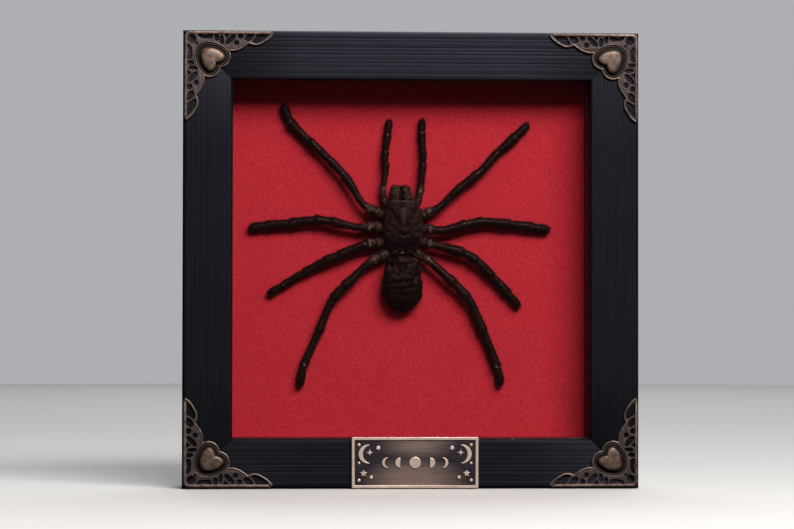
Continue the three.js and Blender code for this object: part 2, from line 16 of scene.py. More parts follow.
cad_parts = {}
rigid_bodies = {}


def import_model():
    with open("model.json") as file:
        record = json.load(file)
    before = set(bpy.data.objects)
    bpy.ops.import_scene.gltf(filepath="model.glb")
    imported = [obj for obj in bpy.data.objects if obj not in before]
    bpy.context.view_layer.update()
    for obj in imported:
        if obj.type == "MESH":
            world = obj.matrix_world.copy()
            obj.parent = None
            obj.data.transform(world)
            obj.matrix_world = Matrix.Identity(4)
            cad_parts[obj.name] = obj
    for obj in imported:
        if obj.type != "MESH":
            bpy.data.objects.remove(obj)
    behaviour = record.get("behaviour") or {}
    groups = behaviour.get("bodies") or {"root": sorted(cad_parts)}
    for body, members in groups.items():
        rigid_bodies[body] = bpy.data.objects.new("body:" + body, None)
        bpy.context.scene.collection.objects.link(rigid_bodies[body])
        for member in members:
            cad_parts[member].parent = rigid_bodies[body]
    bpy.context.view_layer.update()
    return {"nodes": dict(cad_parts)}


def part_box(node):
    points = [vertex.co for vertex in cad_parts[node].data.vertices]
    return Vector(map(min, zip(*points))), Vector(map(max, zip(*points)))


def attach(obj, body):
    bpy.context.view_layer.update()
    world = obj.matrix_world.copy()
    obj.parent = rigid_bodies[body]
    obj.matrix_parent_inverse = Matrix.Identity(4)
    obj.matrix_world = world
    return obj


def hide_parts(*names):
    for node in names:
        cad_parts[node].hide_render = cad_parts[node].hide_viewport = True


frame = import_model()
MM = 0.001

# %% [markdown]
# ## Sizes that the pieces share
#
# Blender works in metres, and a frame maker in millimetres. The sizes are written in millimetres here, and
# each is turned into metres where a mesh is made. X runs to the right, Z up, and the front of the frame
# faces -Y.

# %% Frame sizes in millimetres
FRAME_SIDE = 203.2
FRAME_DEPTH = 32
RAIL_WIDTH = 22.2
MIDDLE = FRAME_SIDE / 2
FRONT = -FRAME_DEPTH / 2
BACK = FRAME_DEPTH / 2
LIP_BACK = FRONT + 5
REBATE_WALL = 16.2
CLOTH_FRONT = 4.0
PLATE_BACK = FRONT - 0.05
SPIDER_MIDDLE = (-3.0, 105.0)  # the spider's midline and waist, in X and Z
TOLERANCE = 0.01

# %% [markdown]
# ## Small helpers for modelling
#
# An operator acts on whatever is selected. So each step first takes one piece and nothing else, and in edit
# mode it selects faces, edges or points by where they lie. That keeps the work the same on every run.

# %% Helpers that select
def nothing_selected():
    if bpy.context.object and bpy.context.object.mode == "EDIT":
        bpy.ops.object.mode_set(mode="OBJECT")
    bpy.ops.object.select_all(action="DESELECT")


def take(piece):
    """Makes one piece the active and only selected one."""
    nothing_selected()
    piece.select_set(True)
    bpy.context.view_layer.objects.active = piece
    return piece


def open_mesh(piece):
    take(piece)
    bpy.ops.object.mode_set(mode="EDIT")
    bpy.ops.mesh.select_all(action="SELECT")


def close_mesh():
    bpy.ops.object.mode_set(mode="OBJECT")


def named(piece, name):
    piece.name = piece.data.name = name
    return piece


def placed(name, data):
    """Puts new data in the scene as a piece of that name."""
    piece = bpy.data.objects.new(name, data)
    bpy.context.scene.collection.objects.link(piece)
    return piece


def pick(piece, kind, wanted):
    """In edit mode, selects the points, edges or faces whose middle, in millimetres, is wanted."""
    bpy.ops.mesh.select_all(action="DESELECT")
    bpy.context.tool_settings.mesh_select_mode = [kind == "point", kind == "edge", kind == "face"]
    mesh = bmesh.from_edit_mesh(piece.data)
    parts = {"point": mesh.verts, "edge": mesh.edges, "face": mesh.faces}[kind]
    for part in parts:
        corners = [part] if kind == "point" else part.verts
        middle = sum((corner.co for corner in corners), Vector()) / len(corners) / MM
        part.select_set(bool(wanted(middle)))
    mesh.select_flush_mode()
    bmesh.update_edit_mesh(piece.data)


# %% [markdown]
# A finished piece sits at the origin, unturned and unscaled, with its place in its mesh. So after a move or
# a turn the change is applied. Modifiers are applied too, one by one, as they are added.

# %% Helpers that pull and cut
def pull(x, y, z):
    """Extrudes what is selected and moves it, in millimetres."""
    bpy.ops.mesh.extrude_region_move(TRANSFORM_OT_translate={"value": (x * MM, y * MM, z * MM)})


def slice_mesh(at, across, **settings):
    """Cuts the whole mesh with a plane through a point in millimetres."""
    bpy.ops.mesh.select_all(action="SELECT")
    bpy.ops.mesh.bisect(plane_co=[value * MM for value in at], plane_no=across, **settings)


# %% Helpers that finish a piece
def settle(piece):
    take(piece)
    bpy.ops.object.transform_apply(location=True, rotation=True, scale=True)
    return piece


def apply_modifier(piece, kind, **settings):
    take(piece)
    modifier = piece.modifiers.new(kind.title(), kind)
    for name, value in settings.items():
        setattr(modifier, name, value)
    bpy.ops.object.modifier_apply(modifier=modifier.name)


def soften_edges(piece, width, segments=2, angle=30):
    apply_modifier(piece, "BEVEL", width=width * MM, segments=segments, limit_method="ANGLE",
                   angle_limit=math.radians(angle))


def smooth(piece, angle=35):
    take(piece)
    bpy.ops.object.shade_smooth_by_angle(angle=math.radians(angle))


def clean_skin(piece, gap=0.002):
    """Merges points that lie on each other and turns every face outwards."""
    open_mesh(piece)
    bpy.ops.mesh.remove_doubles(threshold=gap * MM)
    bpy.ops.mesh.normals_make_consistent(inside=False)
    close_mesh()


def joined(pieces, name):
    nothing_selected()
    for piece in pieces:
        piece.select_set(True)
    bpy.context.view_layer.objects.active = pieces[0]
    bpy.ops.object.join()
    return named(pieces[0], name)


def copied(piece, name):
    take(piece)
    bpy.ops.object.duplicate()
    return named(bpy.context.object, name)


def turned(piece, quarters):
    """Turns a piece by quarter turns about the frame's middle, clockwise from the front."""
    middle = Matrix.Translation((0, 0, MIDDLE * MM))
    turn = Matrix.Rotation(quarters * math.pi / 2, 4, "Y")
    piece.matrix_world = middle @ turn @ middle.inverted()
    return settle(piece)


def triangles(piece):
    return sum(len(face.vertices) - 2 for face in piece.data.polygons)


def coat_with(piece, material):
    piece.data.materials.clear()
    piece.data.materials.append(material)


def mount(piece, slot, *nodes, finish):
    """Gives a piece its finish and puts it on the frame's body in place of those nodes."""
    coat_with(piece, finish)
    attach(piece, "root")
    if nodes:
        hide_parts(*nodes)
    print(f"{piece.name}: {triangles(piece)} triangles")


# %% [markdown]
# ## Helpers for finishes
#
# A finish is a small tree of nodes that ends in one shader. `finish` makes the shader with its plain
# values. `node` adds a node and joins its inputs to numbers or to other nodes. Patterns read the piece's
# own object coordinates, in metres, so a noise scale of 1000 gives spots about a millimetre wide.

# %% Finish helpers
def finish(name, **values):
    material = bpy.data.materials.new(name)
    material.use_nodes = True
    shader = material.node_tree.nodes["Principled BSDF"]
    for socket, value in values.items():
        shader.inputs[socket.replace("_", " ")].default_value = value
    return material, shader


def node(material, kind, inputs=None, **settings):
    made = material.node_tree.nodes.new("ShaderNode" + kind)
    for name, value in settings.items():
        setattr(made, name, value)
    for socket, value in (inputs or {}).items():
        if isinstance(value, bpy.types.NodeSocket):
            material.node_tree.links.new(value, made.inputs[socket])
        else:
            made.inputs[socket].default_value = value
    return made


def link(material, source, target):
    material.node_tree.links.new(source, target)


def place(material, scale=(1, 1, 1)):
    """Object coordinates in metres, stretched by scale."""
    where = node(material, "TexCoord").outputs["Object"]
    return node(material, "Mapping", {"Vector": where, "Scale": scale}).outputs["Vector"]


def grain(material, where, scale, detail=4, roughness=0.6):
    return node(material, "TexNoise", {"Vector": where, "Scale": scale, "Detail": detail,
                                       "Roughness": roughness}).outputs["Fac"]


def painted(material, name):
    """The number that a mesh keeps under this name at each of its points."""
    return node(material, "Attribute", attribute_name=name).outputs["Fac"]


def combined(material, operation, first, second, clamp=False):
    made = node(material, "Math", {0: first, 1: second}, operation=operation, use_clamp=clamp)
    return made.outputs[0]


def spread(material, value, low, high, to_low=0.0, to_high=1.0):
    return node(material, "MapRange", {"Value": value, "From Min": low, "From Max": high, "To Min": to_low,
                                       "To Max": to_high}).outputs["Result"]


def blended(material, share, first, second):
    made = node(material, "Mix", data_type="RGBA")
    for index, value in ((0, share), (6, first), (7, second)):
        if isinstance(value, bpy.types.NodeSocket):
            link(material, value, made.inputs[index])
        elif index == 0:
            made.inputs[index].default_value = value
        else:
            made.inputs[index].default_value = (*value, 1)
    return made.outputs[2]


def dented(material, shader, height, depth, strength=1.0):
    """Gives a surface fine relief: height is from 0 to 1, and depth is in millimetres."""
    bump = node(material, "Bump", {"Height": height, "Distance": depth * MM, "Strength": strength})
    link(material, bump.outputs["Normal"], shader.inputs["Normal"])


# %% [markdown]
# ## Camera, floor and lights
#
# The camera stands 1.3 m in front, a little below and to the left of the frame's middle, with a long lens,
# so the frame hardly narrows. The floor is one large pale sheet. A broad soft lamp at the upper right gives
# the deep shadow under the top rail, and a weak sky fills the shadows.

# %% Camera
CAMERA_AIM = Vector((-6.52, FRONT, 99.37)) * MM
CAMERA_AZIMUTH, CAMERA_ELEVATION, CAMERA_ROLL = -3.35, -1.27, -0.09  # degrees
CAMERA_DISTANCE = 1.3  # metres
FOCAL_LENGTH, SENSOR_WIDTH = 132.7, 36


def direction_to(azimuth_deg, elevation_deg):
    """Direction from the frame to a place: azimuth 0 is straight in front, and 90 is on the right."""
    azimuth, elevation = math.radians(azimuth_deg), math.radians(elevation_deg)
    return Vector((math.sin(azimuth) * math.cos(elevation), -math.cos(azimuth) * math.cos(elevation),
                   math.sin(elevation)))


away = direction_to(CAMERA_AZIMUTH, CAMERA_ELEVATION)
roll = Matrix.Rotation(-math.radians(CAMERA_ROLL), 4, "Z").to_quaternion()
bpy.ops.object.camera_add(location=CAMERA_AIM + away * CAMERA_DISTANCE)
camera = bpy.context.object
camera.rotation_mode = "QUATERNION"
camera.rotation_quaternion = away.to_track_quat("Z", "Y") @ roll
camera.data.lens = FOCAL_LENGTH
camera.data.sensor_width = SENSOR_WIDTH
bpy.context.scene.camera = camera
print("camera at", [round(value, 3) for value in camera.location])

# %% Floor
FLOOR_RADIUS, FLOOR_Z = 2.5, -0.0002  # metres; just under the frame, so that the two don't share a face
nothing_selected()
bpy.ops.mesh.primitive_circle_add(vertices=96, radius=FLOOR_RADIUS, fill_type="NGON", location=(0, 0, FLOOR_Z))
floor = settle(bpy.context.object)
floor.name = "floor"
paper, shader = finish("pale_floor", Roughness=0.8)
mottle = grain(paper, place(paper), 7)
link(paper, blended(paper, mottle, (0.70, 0.69, 0.67), (0.74, 0.73, 0.71)), shader.inputs["Base Color"])
floor.data.materials.append(paper)
floor.visible_diffuse = floor.visible_glossy = False


# %% Lights
def lamp(name, azimuth_deg, elevation_deg, distance, width, height, power, colour):
    """A soft box aimed at the frame's middle. Its distance and size are in metres, and its power in watts."""
    direction = direction_to(azimuth_deg, elevation_deg)
    bpy.ops.object.light_add(type="AREA", location=Vector((0, 0, MIDDLE * MM)) + direction * distance)
    light = bpy.context.object
    light.name = name
    light.rotation_mode = "QUATERNION"
    light.rotation_quaternion = direction.to_track_quat("Z", "Y")
    light.data.shape = "RECTANGLE"
    light.data.size, light.data.size_y = width, height
    light.data.energy = power
    light.data.color = colour


lamp("key_box", 22, 37, 1.4, 1.0, 0.5, 28, (1.0, 0.97, 0.95))
lamp("fill_box", -45, 30, 1.8, 0.9, 0.9, 1.2, (0.9, 0.94, 1.0))
lamp("back_box", 170, 50, 3.0, 2.2, 2.0, 45, (0.95, 0.97, 1.0))

world = bpy.data.worlds.new("sky")
bpy.context.scene.world = world
world.use_nodes = True
sky = world.node_tree
weak_sky = sky.nodes["Background"]
weak_sky.inputs["Color"].default_value = (0.80, 0.84, 0.92, 1)
weak_sky.inputs["Strength"].default_value = 0.06
backdrop = sky.nodes.new("ShaderNodeBackground")
backdrop.inputs["Color"].default_value = (0.42, 0.43, 0.45, 1)
seen = sky.nodes.new("ShaderNodeLightPath")
either = sky.nodes.new("ShaderNodeMixShader")
sky.links.new(seen.outputs["Is Camera Ray"], either.inputs[0])
sky.links.new(weak_sky.outputs[0], either.inputs[1])
sky.links.new(backdrop.outputs[0], either.inputs[2])
sky.links.new(either.outputs[0], sky.nodes["World Output"].inputs["Surface"])

scene = bpy.context.scene
scene.view_settings.view_transform = "Standard"
scene.cycles.max_bounces = 8
scene.cycles.transparent_max_bounces = 16

# %% [markdown]
# ## The reeded rails
#
# A rail is a wooden bar with fine round grooves along its face, cut at 45 degrees at each end. It could be
# made by sweeping a section along a path. Here its section is a flat plane, cut into strips where the
# grooves run. The grooves' bottoms are pushed back, the step for the glass is cut out, and the section is
# pulled out to a bar.

# %% Section of a rail
GROOVES = {3.4: 0.06, 4.8: 0.04, 7.4: 0.06, 9.0: 0.05, 10.5: 0.06, 12.7: 0.035, 14.3: 0.05, 16.0: 0.035,
           19.0: 0.035}  # place across the rail, from its outer edge, and depth
GROOVE_WIDTH = 0.8
CROWN = 0.03
MITRE_GAP = 0.05
ARRIS = {0.0: 1.7, 0.4: 0.95, RAIL_WIDTH - 0.4: 1.0, RAIL_WIDTH: 1.8}  # how far the face's edges fall back


def near(value, goals, reach=TOLERANCE):
    return any(abs(value - goal) < reach for goal in goals)


def face_fall(u):
    """How far the face falls back at u, from the rail's outer edge: its low crown and the grooves."""
    fall = CROWN * ((2 * u) / RAIL_WIDTH - 1) ** 2
    for middle, depth in GROOVES.items():
        if abs(u - middle) < GROOVE_WIDTH / 2:
            fall += depth * 0.5 * (1 + math.cos(2 * math.pi * (u - middle) / GROOVE_WIDTH))
    return fall


nothing_selected()
bpy.ops.mesh.primitive_plane_add(size=1, location=(-MIDDLE * MM, 0, RAIL_WIDTH / 2 * MM),
                                 rotation=(0, math.pi / 2, 0))
rail = bpy.context.object
rail.scale = (RAIL_WIDTH * MM, FRAME_DEPTH * MM, 1)
settle(rail)
open_mesh(rail)
edge_lines = [0.4, 1.0, RAIL_WIDTH - 1, RAIL_WIDTH - 0.4, REBATE_WALL]
groove_lines = [u + step * GROOVE_WIDTH for u in GROOVES for step in (-0.5, -0.25, 0, 0.25, 0.5)]
strip_lines = sorted(edge_lines + [u for u in groove_lines if not near(u, edge_lines, 0.06)])
for u in strip_lines:
    slice_mesh((0, 0, u), (0, 0, 1))
slice_mesh((0, LIP_BACK, 0), (0, 1, 0))
pick(rail, "face", lambda middle: middle.z > REBATE_WALL and middle.y > LIP_BACK)
bpy.ops.mesh.delete(type="FACE")
print("strips across the rail:", len(strip_lines) + 1)

# %% Crown, grooves and rounded arrises
for u in [0.0, *strip_lines, RAIL_WIDTH]:
    pick(rail, "point", lambda point: near(point.z, [u], 0.003) and near(point.y, [FRONT]))
    bpy.ops.transform.translate(value=(0, ARRIS.get(u, face_fall(u)) * MM, 0))
bpy.ops.mesh.select_all(action="SELECT")
pull(FRAME_SIDE, 0, 0)
bpy.ops.mesh.select_all(action="SELECT")
bpy.ops.mesh.normals_make_consistent(inside=False)
for side in (-1, 1):
    slice_mesh((side * (MIDDLE - MITRE_GAP), 0, 0), (side, 0, 1), use_fill=True, clear_outer=True)
close_mesh()
print("rail:", triangles(rail), "triangles, size in mm", [round(value / MM, 1) for value in rail.dimensions])


# %% [markdown]
# Behind, thin metal tabs are pushed into slots in the rebate's wall, and two nails into the top rail. A
# slot or a hole could be cut with a Boolean. Here the wall is cut along the slot's edges with Bisect
# instead, and the small face between the cuts is pushed in, which always leaves a closed mesh. The nail
# holes are square, and the nails hide them.

# %% Slots, holes and the four rails
def sink(piece, low, high, push):
    """Pushes in the part of a flat wall that lies between low and high, in millimetres, by push."""
    open_mesh(piece)
    for axis in range(3):
        for end in (low, high):
            if push[axis] == 0:
                across = [float(i == axis) for i in range(3)]
                slice_mesh([end[axis] * share for share in across], across)
    pick(piece, "face", lambda middle: all(low[i] - TOLERANCE <= middle[i] <= high[i] + TOLERANCE
                                           for i in range(3)))
    pull(*push)
    close_mesh()


def block(low, high):
    nothing_selected()
    low, high = Vector(low) * MM, Vector(high) * MM
    bpy.ops.mesh.primitive_cube_add(size=1, location=(low + high) / 2)
    piece = bpy.context.object
    piece.scale = high - low
    return settle(piece)


TAB_OFFSET, SLOT_FRONT, SLOT_BACK = 45, 11.2, 12.3
SLOT_HALF, SLOT_DEPTH = 4.3, 2.8
for middle in (-TAB_OFFSET, TAB_OFFSET):
    sink(rail, (middle - SLOT_HALF, SLOT_FRONT, REBATE_WALL), (middle + SLOT_HALF, SLOT_BACK, REBATE_WALL),
         (0, 0, -SLOT_DEPTH))
NAIL_X, NAIL_Z, NAIL_HOLE, NAIL_DEPTH = 18.2, 195.0, 0.9, 12
rails = {"bottom": rail}
for name, quarters in (("left", 1), ("top", 2), ("right", 3)):
    rails[name] = turned(copied(rail, f"reeded_rail_{name}"), quarters)
named(rail, "reeded_rail_bottom")
for middle in (-NAIL_X, NAIL_X):
    sink(rails["top"], (middle - NAIL_HOLE, BACK, NAIL_Z - NAIL_HOLE),
         (middle + NAIL_HOLE, BACK, NAIL_Z + NAIL_HOLE), (0, -NAIL_DEPTH, 0))
for piece in rails.values():
    soften_edges(piece, 0.16, 2, 50)
    clean_skin(piece)
    smooth(piece, 30)


# %% [markdown]
# The wood is lacquered black, thinly enough that fine streaks of grain still show along each rail. The
# streaks are a noise stretched along the rail, so the level and the upright rails can't share a finish.
# Brush marks run the same way and are finer than a reed, and they spread the lamp's gleam across a rail.
# The same lacquer gets three gloss levels, strongest on the top rail, weaker on the bottom rail and weakest
# on the sides: a painted highlight for how the lamp's gleam falls on each rail.

# %% Black lacquer
def black_lacquer(name, stretch, gleam):
    material, shader = finish(name, Specular_IOR_Level=gleam, Specular_Tint=(0.74, 0.72, 1.0, 1))
    along = place(material, stretch)
    streaks = grain(material, along, 900, 5, 0.65)
    brush_marks = grain(material, along, 5500, 2, 0.5)
    cloudy = grain(material, place(material), 60, 3)
    colour = blended(material, spread(material, streaks, 0.35, 0.7), (0.0035, 0.0034, 0.0046),
                     (0.0055, 0.0053, 0.007))
    dusty = blended(material, spread(material, cloudy, 0.45, 0.8, 0, 0.35), colour, (0.0065, 0.0062, 0.0085))
    link(material, dusty, shader.inputs["Base Color"])
    link(material, spread(material, streaks, 0.3, 0.7, 0.48, 0.54), shader.inputs["Roughness"])
    dented(material, shader, combined(material, "ADD", streaks, brush_marks), 0.03, 1.0)
    return material


ALONG_X, ALONG_Z = (0.03, 1, 1), (1, 1, 0.03)
# The gloss set per rail below is painted highlight.
lacquer_top_painted_highlight = black_lacquer("black_lacquer_top_painted_highlight", ALONG_X, 0.27)
lacquer_bottom_painted_highlight = black_lacquer("black_lacquer_bottom_painted_highlight", ALONG_X, 0.19)
lacquer_sides_painted_highlight = black_lacquer("black_lacquer_sides_painted_highlight", ALONG_Z, 0.145)
for name, piece in rails.items():
    lacquer = {"top": lacquer_top_painted_highlight, "bottom": lacquer_bottom_painted_highlight}.get(name, lacquer_sides_painted_highlight)
    mount(piece, "black_wood", f"rail_{name}", finish=lacquer)

# %% [markdown]
# ## Red cloth
#
# Fine napped cloth is glued to the board behind the spider and round four strips of card at the sides. Seen
# close, the nap is a soft mottle less than a millimetre wide. The strips get a deeper red and no sheen from the
# same maker function: painted shade, for the shadow that fills the box's sides. The sheet is a plane cut into
# small squares, lifted here and there by a hair's breadth as glued cloth is, and given its thickness by
# Solidify.

# %% Red cloth finish
def napped_cloth(name, deep, light, worn, sheen):
    material, shader = finish(name, Roughness=0.9, Sheen_Weight=sheen, Sheen_Roughness=0.45,
                              Specular_IOR_Level=0.15, Sheen_Tint=(1.0, 0.45, 0.45, 1))
    here = place(material)
    fibres = grain(material, here, 2600, 3, 0.7)
    tufts = grain(material, here, 700, 4, 0.65)
    patches = grain(material, here, 45, 3, 0.6)
    pile = combined(material, "ADD", tufts, fibres)
    colour = blended(material, spread(material, pile, 0.75, 1.25), deep, light)
    colour = blended(material, spread(material, patches, 0.3, 0.75, 0, 0.4), colour, worn)
    link(material, colour, shader.inputs["Base Color"])
    dented(material, shader, pile, 0.12, 0.6)
    return material


red_nap = napped_cloth("red_nap", (0.40, 0.010, 0.020), (0.60, 0.030, 0.048), (0.42, 0.014, 0.026), 0.25)
# The strips' deeper red is painted shade.
nap_painted_shade = napped_cloth("red_nap_painted_shade", (0.13, 0.003, 0.007), (0.20, 0.009, 0.016), (0.14, 0.005, 0.009),
                           0.0)

# %% Sheet of cloth behind the spider
CLOTH_SIDE, CLOTH_THICKNESS = 170.0, 0.45
CLOTH_SQUARES = 120
nothing_selected()
bpy.ops.mesh.primitive_grid_add(x_subdivisions=CLOTH_SQUARES, y_subdivisions=CLOTH_SQUARES,
                                size=CLOTH_SIDE * MM, location=(0, (CLOTH_FRONT + 0.1) * MM, MIDDLE * MM),
                                rotation=(math.pi / 2, 0, 0))
cloth = named(settle(bpy.context.object), "red_cloth_sheet")
for point in cloth.data.vertices:
    lift = 0.06 * noise.noise(point.co * 45) + 0.02 * noise.noise(point.co * 160)
    point.co.y -= lift * MM
apply_modifier(cloth, "SOLIDIFY", thickness=CLOTH_THICKNESS * MM, offset=-1)
clean_skin(cloth)
smooth(cloth, 60)
mount(cloth, "red_cloth", "backing_cloth", finish=red_nap)

# %% Cloth-covered strips round the box
for name in ("top", "bottom", "left", "right"):
    low, high = (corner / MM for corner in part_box(f"liner_{name}"))
    strip = named(block(low, high), f"cloth_strip_{name}")
    soften_edges(strip, 0.5, 3)
    mount(strip, "red_cloth", f"liner_{name}", finish=nap_painted_shade)
    smooth(strip, 50)

# %% [markdown]
# ## Glass
#
# The pane is picture glass with a thin coating that takes most of the glare away. It is a clear shader with
# a little gloss mixed in by Fresnel, which is weak from the front and stronger at the edges of a view.
# Light passes straight through, so the spider stays lit.

# %% Picture glass
glass = bpy.data.materials.new("picture_glass")
glass.use_nodes = True
glass.node_tree.nodes.clear()
clear = node(glass, "BsdfTransparent", {"Color": (0.985, 0.995, 0.99, 1)})
gloss = node(glass, "BsdfAnisotropic", {"Color": (1, 1, 1, 1), "Roughness": 0.03})
edge_on = node(glass, "Fresnel", {"IOR": 1.5}).outputs["Fac"]
dust = grain(glass, place(glass), 90, 3)
glare = combined(glass, "MULTIPLY", edge_on, spread(glass, dust, 0, 1, 0.16, 0.22))
pane_mix = node(glass, "MixShader", {0: glare, 1: clear.outputs[0], 2: gloss.outputs[0]})
node(glass, "OutputMaterial", {"Surface": pane_mix.outputs[0]})
coat_with(frame["nodes"]["glass_pane"], glass)

# %% [markdown]
# ## Bronze corner pieces
#
# Each corner piece is cast in one flat shape: pierced tracery with a band along the frame's edges, a round
# wire along its scalloped side, and a domed heart inside two thin rings. Pierced work is easiest as a flat
# curve: the outline and the holes are closed lines, Blender fills between them, and the curve's own
# thickness and bevel round the edges. Wires are curves with a round section. Lines are drawn in the XZ
# plane.

# %% Helpers for pierced sheet and wire
def rounded_line(points, corners=(), steps=4):
    """A closed line drawn smoothly through the points, bent sharply only at the listed corners."""
    points = np.array(points, float)
    count = len(points)
    before, after = np.roll(points, 1, 0), np.roll(points, -1, 0)
    heading = after - before
    heading /= np.linalg.norm(heading, axis=1)[:, None]
    heading[list(corners)] = 0
    line = []
    for i in range(count):
        a, b = points[i], points[(i + 1) % count]
        span = np.linalg.norm(b - a)
        if span < 1e-6:
            continue
        for t in np.arange(steps) / steps:
            pull_a, pull_b = span * heading[i], span * heading[(i + 1) % count]
            line.append(a * (2 * t**3 - 3 * t**2 + 1) + pull_a * (t**3 - 2 * t**2 + t)
                        + b * (3 * t**2 - 2 * t**3) + pull_b * (t**3 - t**2))
    return np.array(line)


def beside(line, distance):
    """The closed line moved outwards by a distance, without the loops that tight bends would make."""
    line = np.array(line, float)
    along = np.roll(line, -1, 0) - np.roll(line, 1, 0)
    area = np.sum(line[:, 0] * np.roll(line[:, 1], -1) - line[:, 1] * np.roll(line[:, 0], -1))
    out = np.stack([along[:, 1], -along[:, 0]], 1) * np.sign(area)
    out /= np.maximum(np.linalg.norm(out, axis=1), 1e-9)[:, None]
    moved = line + out * distance
    gaps = np.linalg.norm(moved[:, None] - line[None], axis=2).min(1)
    return moved[gaps > 0.97 * abs(distance)]


def curve_piece(name, lines, closed=True, **settings):
    curve = bpy.data.curves.new(name, "CURVE")
    for setting, value in settings.items():
        setattr(curve, setting, value)
    for points in lines:
        spline = curve.splines.new("POLY")
        spline.points.add(len(points) - 1)
        for point, (x, z) in zip(spline.points, points):
            point.co = (x * MM, z * MM, 0, 1)
        spline.use_cyclic_u = closed
    take(placed(name, curve))
    bpy.ops.object.convert(target="MESH")
    return bpy.context.object


def stood_up(piece, y):
    """Turns a flat piece upright, facing the front, with its middle plane at y."""
    piece.matrix_world = Matrix.Translation((0, y * MM, 0)) @ Matrix.Rotation(math.pi / 2, 4, "X")
    return settle(piece)


def pierced_sheet(name, outline, holes, back, thickness, edge):
    piece = curve_piece(name, [outline, *holes], dimensions="2D", fill_mode="BOTH", offset=-edge * MM,
                        extrude=(thickness / 2 - edge) * MM, bevel_depth=edge * MM, bevel_resolution=1)
    clean_skin(stood_up(piece, back - thickness / 2))
    return piece


def wire(name, line, y, radius, closed=True):
    piece = curve_piece(name, [line], closed, dimensions="3D", bevel_depth=radius * MM, bevel_resolution=2,
                        use_fill_caps=not closed)
    clean_skin(stood_up(piece, y))
    return piece


def ellipse(x, z, half_length, half_width, turn_deg=0, points=16):
    angle = np.arange(points) * 2 * np.pi / points
    turn = math.radians(turn_deg)
    a, b = half_length * np.cos(angle), half_width * np.sin(angle)
    return np.stack([x + a * math.cos(turn) - b * math.sin(turn),
                     z + a * math.sin(turn) + b * math.cos(turn)], 1)


def arc(x, z, radius, from_deg, to_deg, steps):
    angle = np.radians(np.linspace(from_deg, to_deg, steps + 1))
    return np.stack([x + radius * np.cos(angle), z + radius * np.sin(angle)], 1)


# %% Lines of a corner piece, in millimetres from its own corner
CORNER_INSET, CORNER_RADIUS = 0.7, 2.4
ARM_EDGE = [(38.6, 0), (39.4, 0.6), (39.1, 1.5), (37.6, 3.2), (35.3, 4.7), (33, 5.9), (31, 6.1), (29.4, 5.7),
            (28.5, 5.3), (27.5, 6.1), (25.6, 7.4), (23.4, 8.4), (21.3, 8.8), (19.9, 8.5), (20.5, 11.1),
            (19.5, 14.0), (17.5, 15.6), (16.0, 16.0)]
SHARP_PLACES = [(38.6, 0), (28.5, 5.3), (19.9, 8.5), (16.0, 16.0)]
ARM_HOLES = [
    rounded_line([(6.0, 1.5), (7.1, 1.3), (8.4, 1.9), (10.4, 1.6), (12.1, 1.3), (12.3, 2.2), (11.6, 3.0),
                  (9.6, 3.1), (7.7, 2.9), (6.6, 2.4)]),
    ellipse(14.1, 2.6, 1.45, 0.85, 80),
    ellipse(16.4, 3.8, 1.9, 0.75, 85),
    rounded_line([(17.6, 1.3), (19.6, 1.25), (18.5, 2.8)], corners=(0, 1, 2)),
    ellipse(20.2, 3.6, 2.75, 1.0, -43),
    ellipse(24.7, 2.25, 1.05, 1.0, 0),
    ellipse(22.9, 5.1, 1.0, 0.95, 0),
    rounded_line([(26.6, 3.2), (27.7, 1.7), (29.2, 1.3), (30.5, 1.3), (29.9, 2.9), (28.5, 4.0), (26.9, 3.8)]),
    rounded_line([(30.3, 4.6), (31.2, 3.0), (32.1, 1.6), (33.6, 1.3), (37.2, 1.3), (35.8, 2.9), (33.4, 4.5),
                  (31.4, 5.0)], corners=(4,)),
]
ELBOW_HOLES = [ellipse(3.4, 3.2, 1.75, 1.7), ellipse(5.3, 5.3, 0.8, 0.75)]
HEART_EDGE = [(7.75, 7.75), (8.7, 7.1), (11.3, 6.85), (14.9, 7.9), (17.3, 9.8), (17.8, 11.2), (16.8, 12.8),
              (14.9, 13.7), (13.8, 13.8)]


def other_arm(points):
    return [(b, a) for a, b in reversed([tuple(point) for point in points])]


def in_place(points):
    return np.array(points, float) + (CORNER_INSET - MIDDLE, CORNER_INSET)


elbow = [tuple(point) for point in arc(CORNER_RADIUS, CORNER_RADIUS, CORNER_RADIUS, 180, 270, 4)]
edge_points = elbow + ARM_EDGE + other_arm(ARM_EDGE)[1:]
sharp_places = SHARP_PLACES + other_arm(SHARP_PLACES)
sharp = [i for i, point in enumerate(edge_points) if point in sharp_places]
corner_outline = rounded_line(edge_points, sharp, 3)
corner_holes = ELBOW_HOLES + ARM_HOLES + [other_arm(hole) for hole in ARM_HOLES]
heart_line = rounded_line(HEART_EDGE + other_arm(HEART_EDGE)[1:-1], (8,), 4)
print("corner outline:", len(corner_outline), "points;", len(corner_holes), "holes")

# %% [markdown]
# The heart starts as its outline alone. A face is put in it and pulled forwards for the wall. Then the face
# is pulled out again and again, and each time drawn in towards the heart's middle a little more than the
# last. That makes the dome, and a last poke closes it with a point.

# %% Domed heart
HEART_MIDDLE = in_place([(12.4, 12.4)])[0]
heart_centre = (HEART_MIDDLE[0] * MM, 0, HEART_MIDDLE[1] * MM)
HEART_WALL = 1.2
DOME = ((0.985, 0.3), (0.95, 0.26), (0.9, 0.2), (0.82, 0.15), (0.7, 0.1), (0.5, 0.07),
        (0.22, 0.03))  # size to the outline, and rise
heart_edge = HEART_MIDDLE + 0.95 * (in_place(heart_line) - HEART_MIDDLE) + 0.15
heart = stood_up(curve_piece("heart", [heart_edge], dimensions="3D"), PLATE_BACK - 0.1)
open_mesh(heart)
bpy.ops.mesh.edge_face_add()
pull(0, -HEART_WALL, 0)
size_now = 1.0
for size, rise in DOME:
    pull(0, -rise, 0)
    ratio = size / size_now
    bpy.ops.transform.resize(value=(ratio, 1, ratio), center_override=heart_centre)
    size_now = size
bpy.ops.mesh.poke()
close_mesh()
clean_skin(heart, 0.01)
smooth(heart, 45)
print("heart: front at y", round(min(point.co.y for point in heart.data.vertices) / MM, 2), "mm")

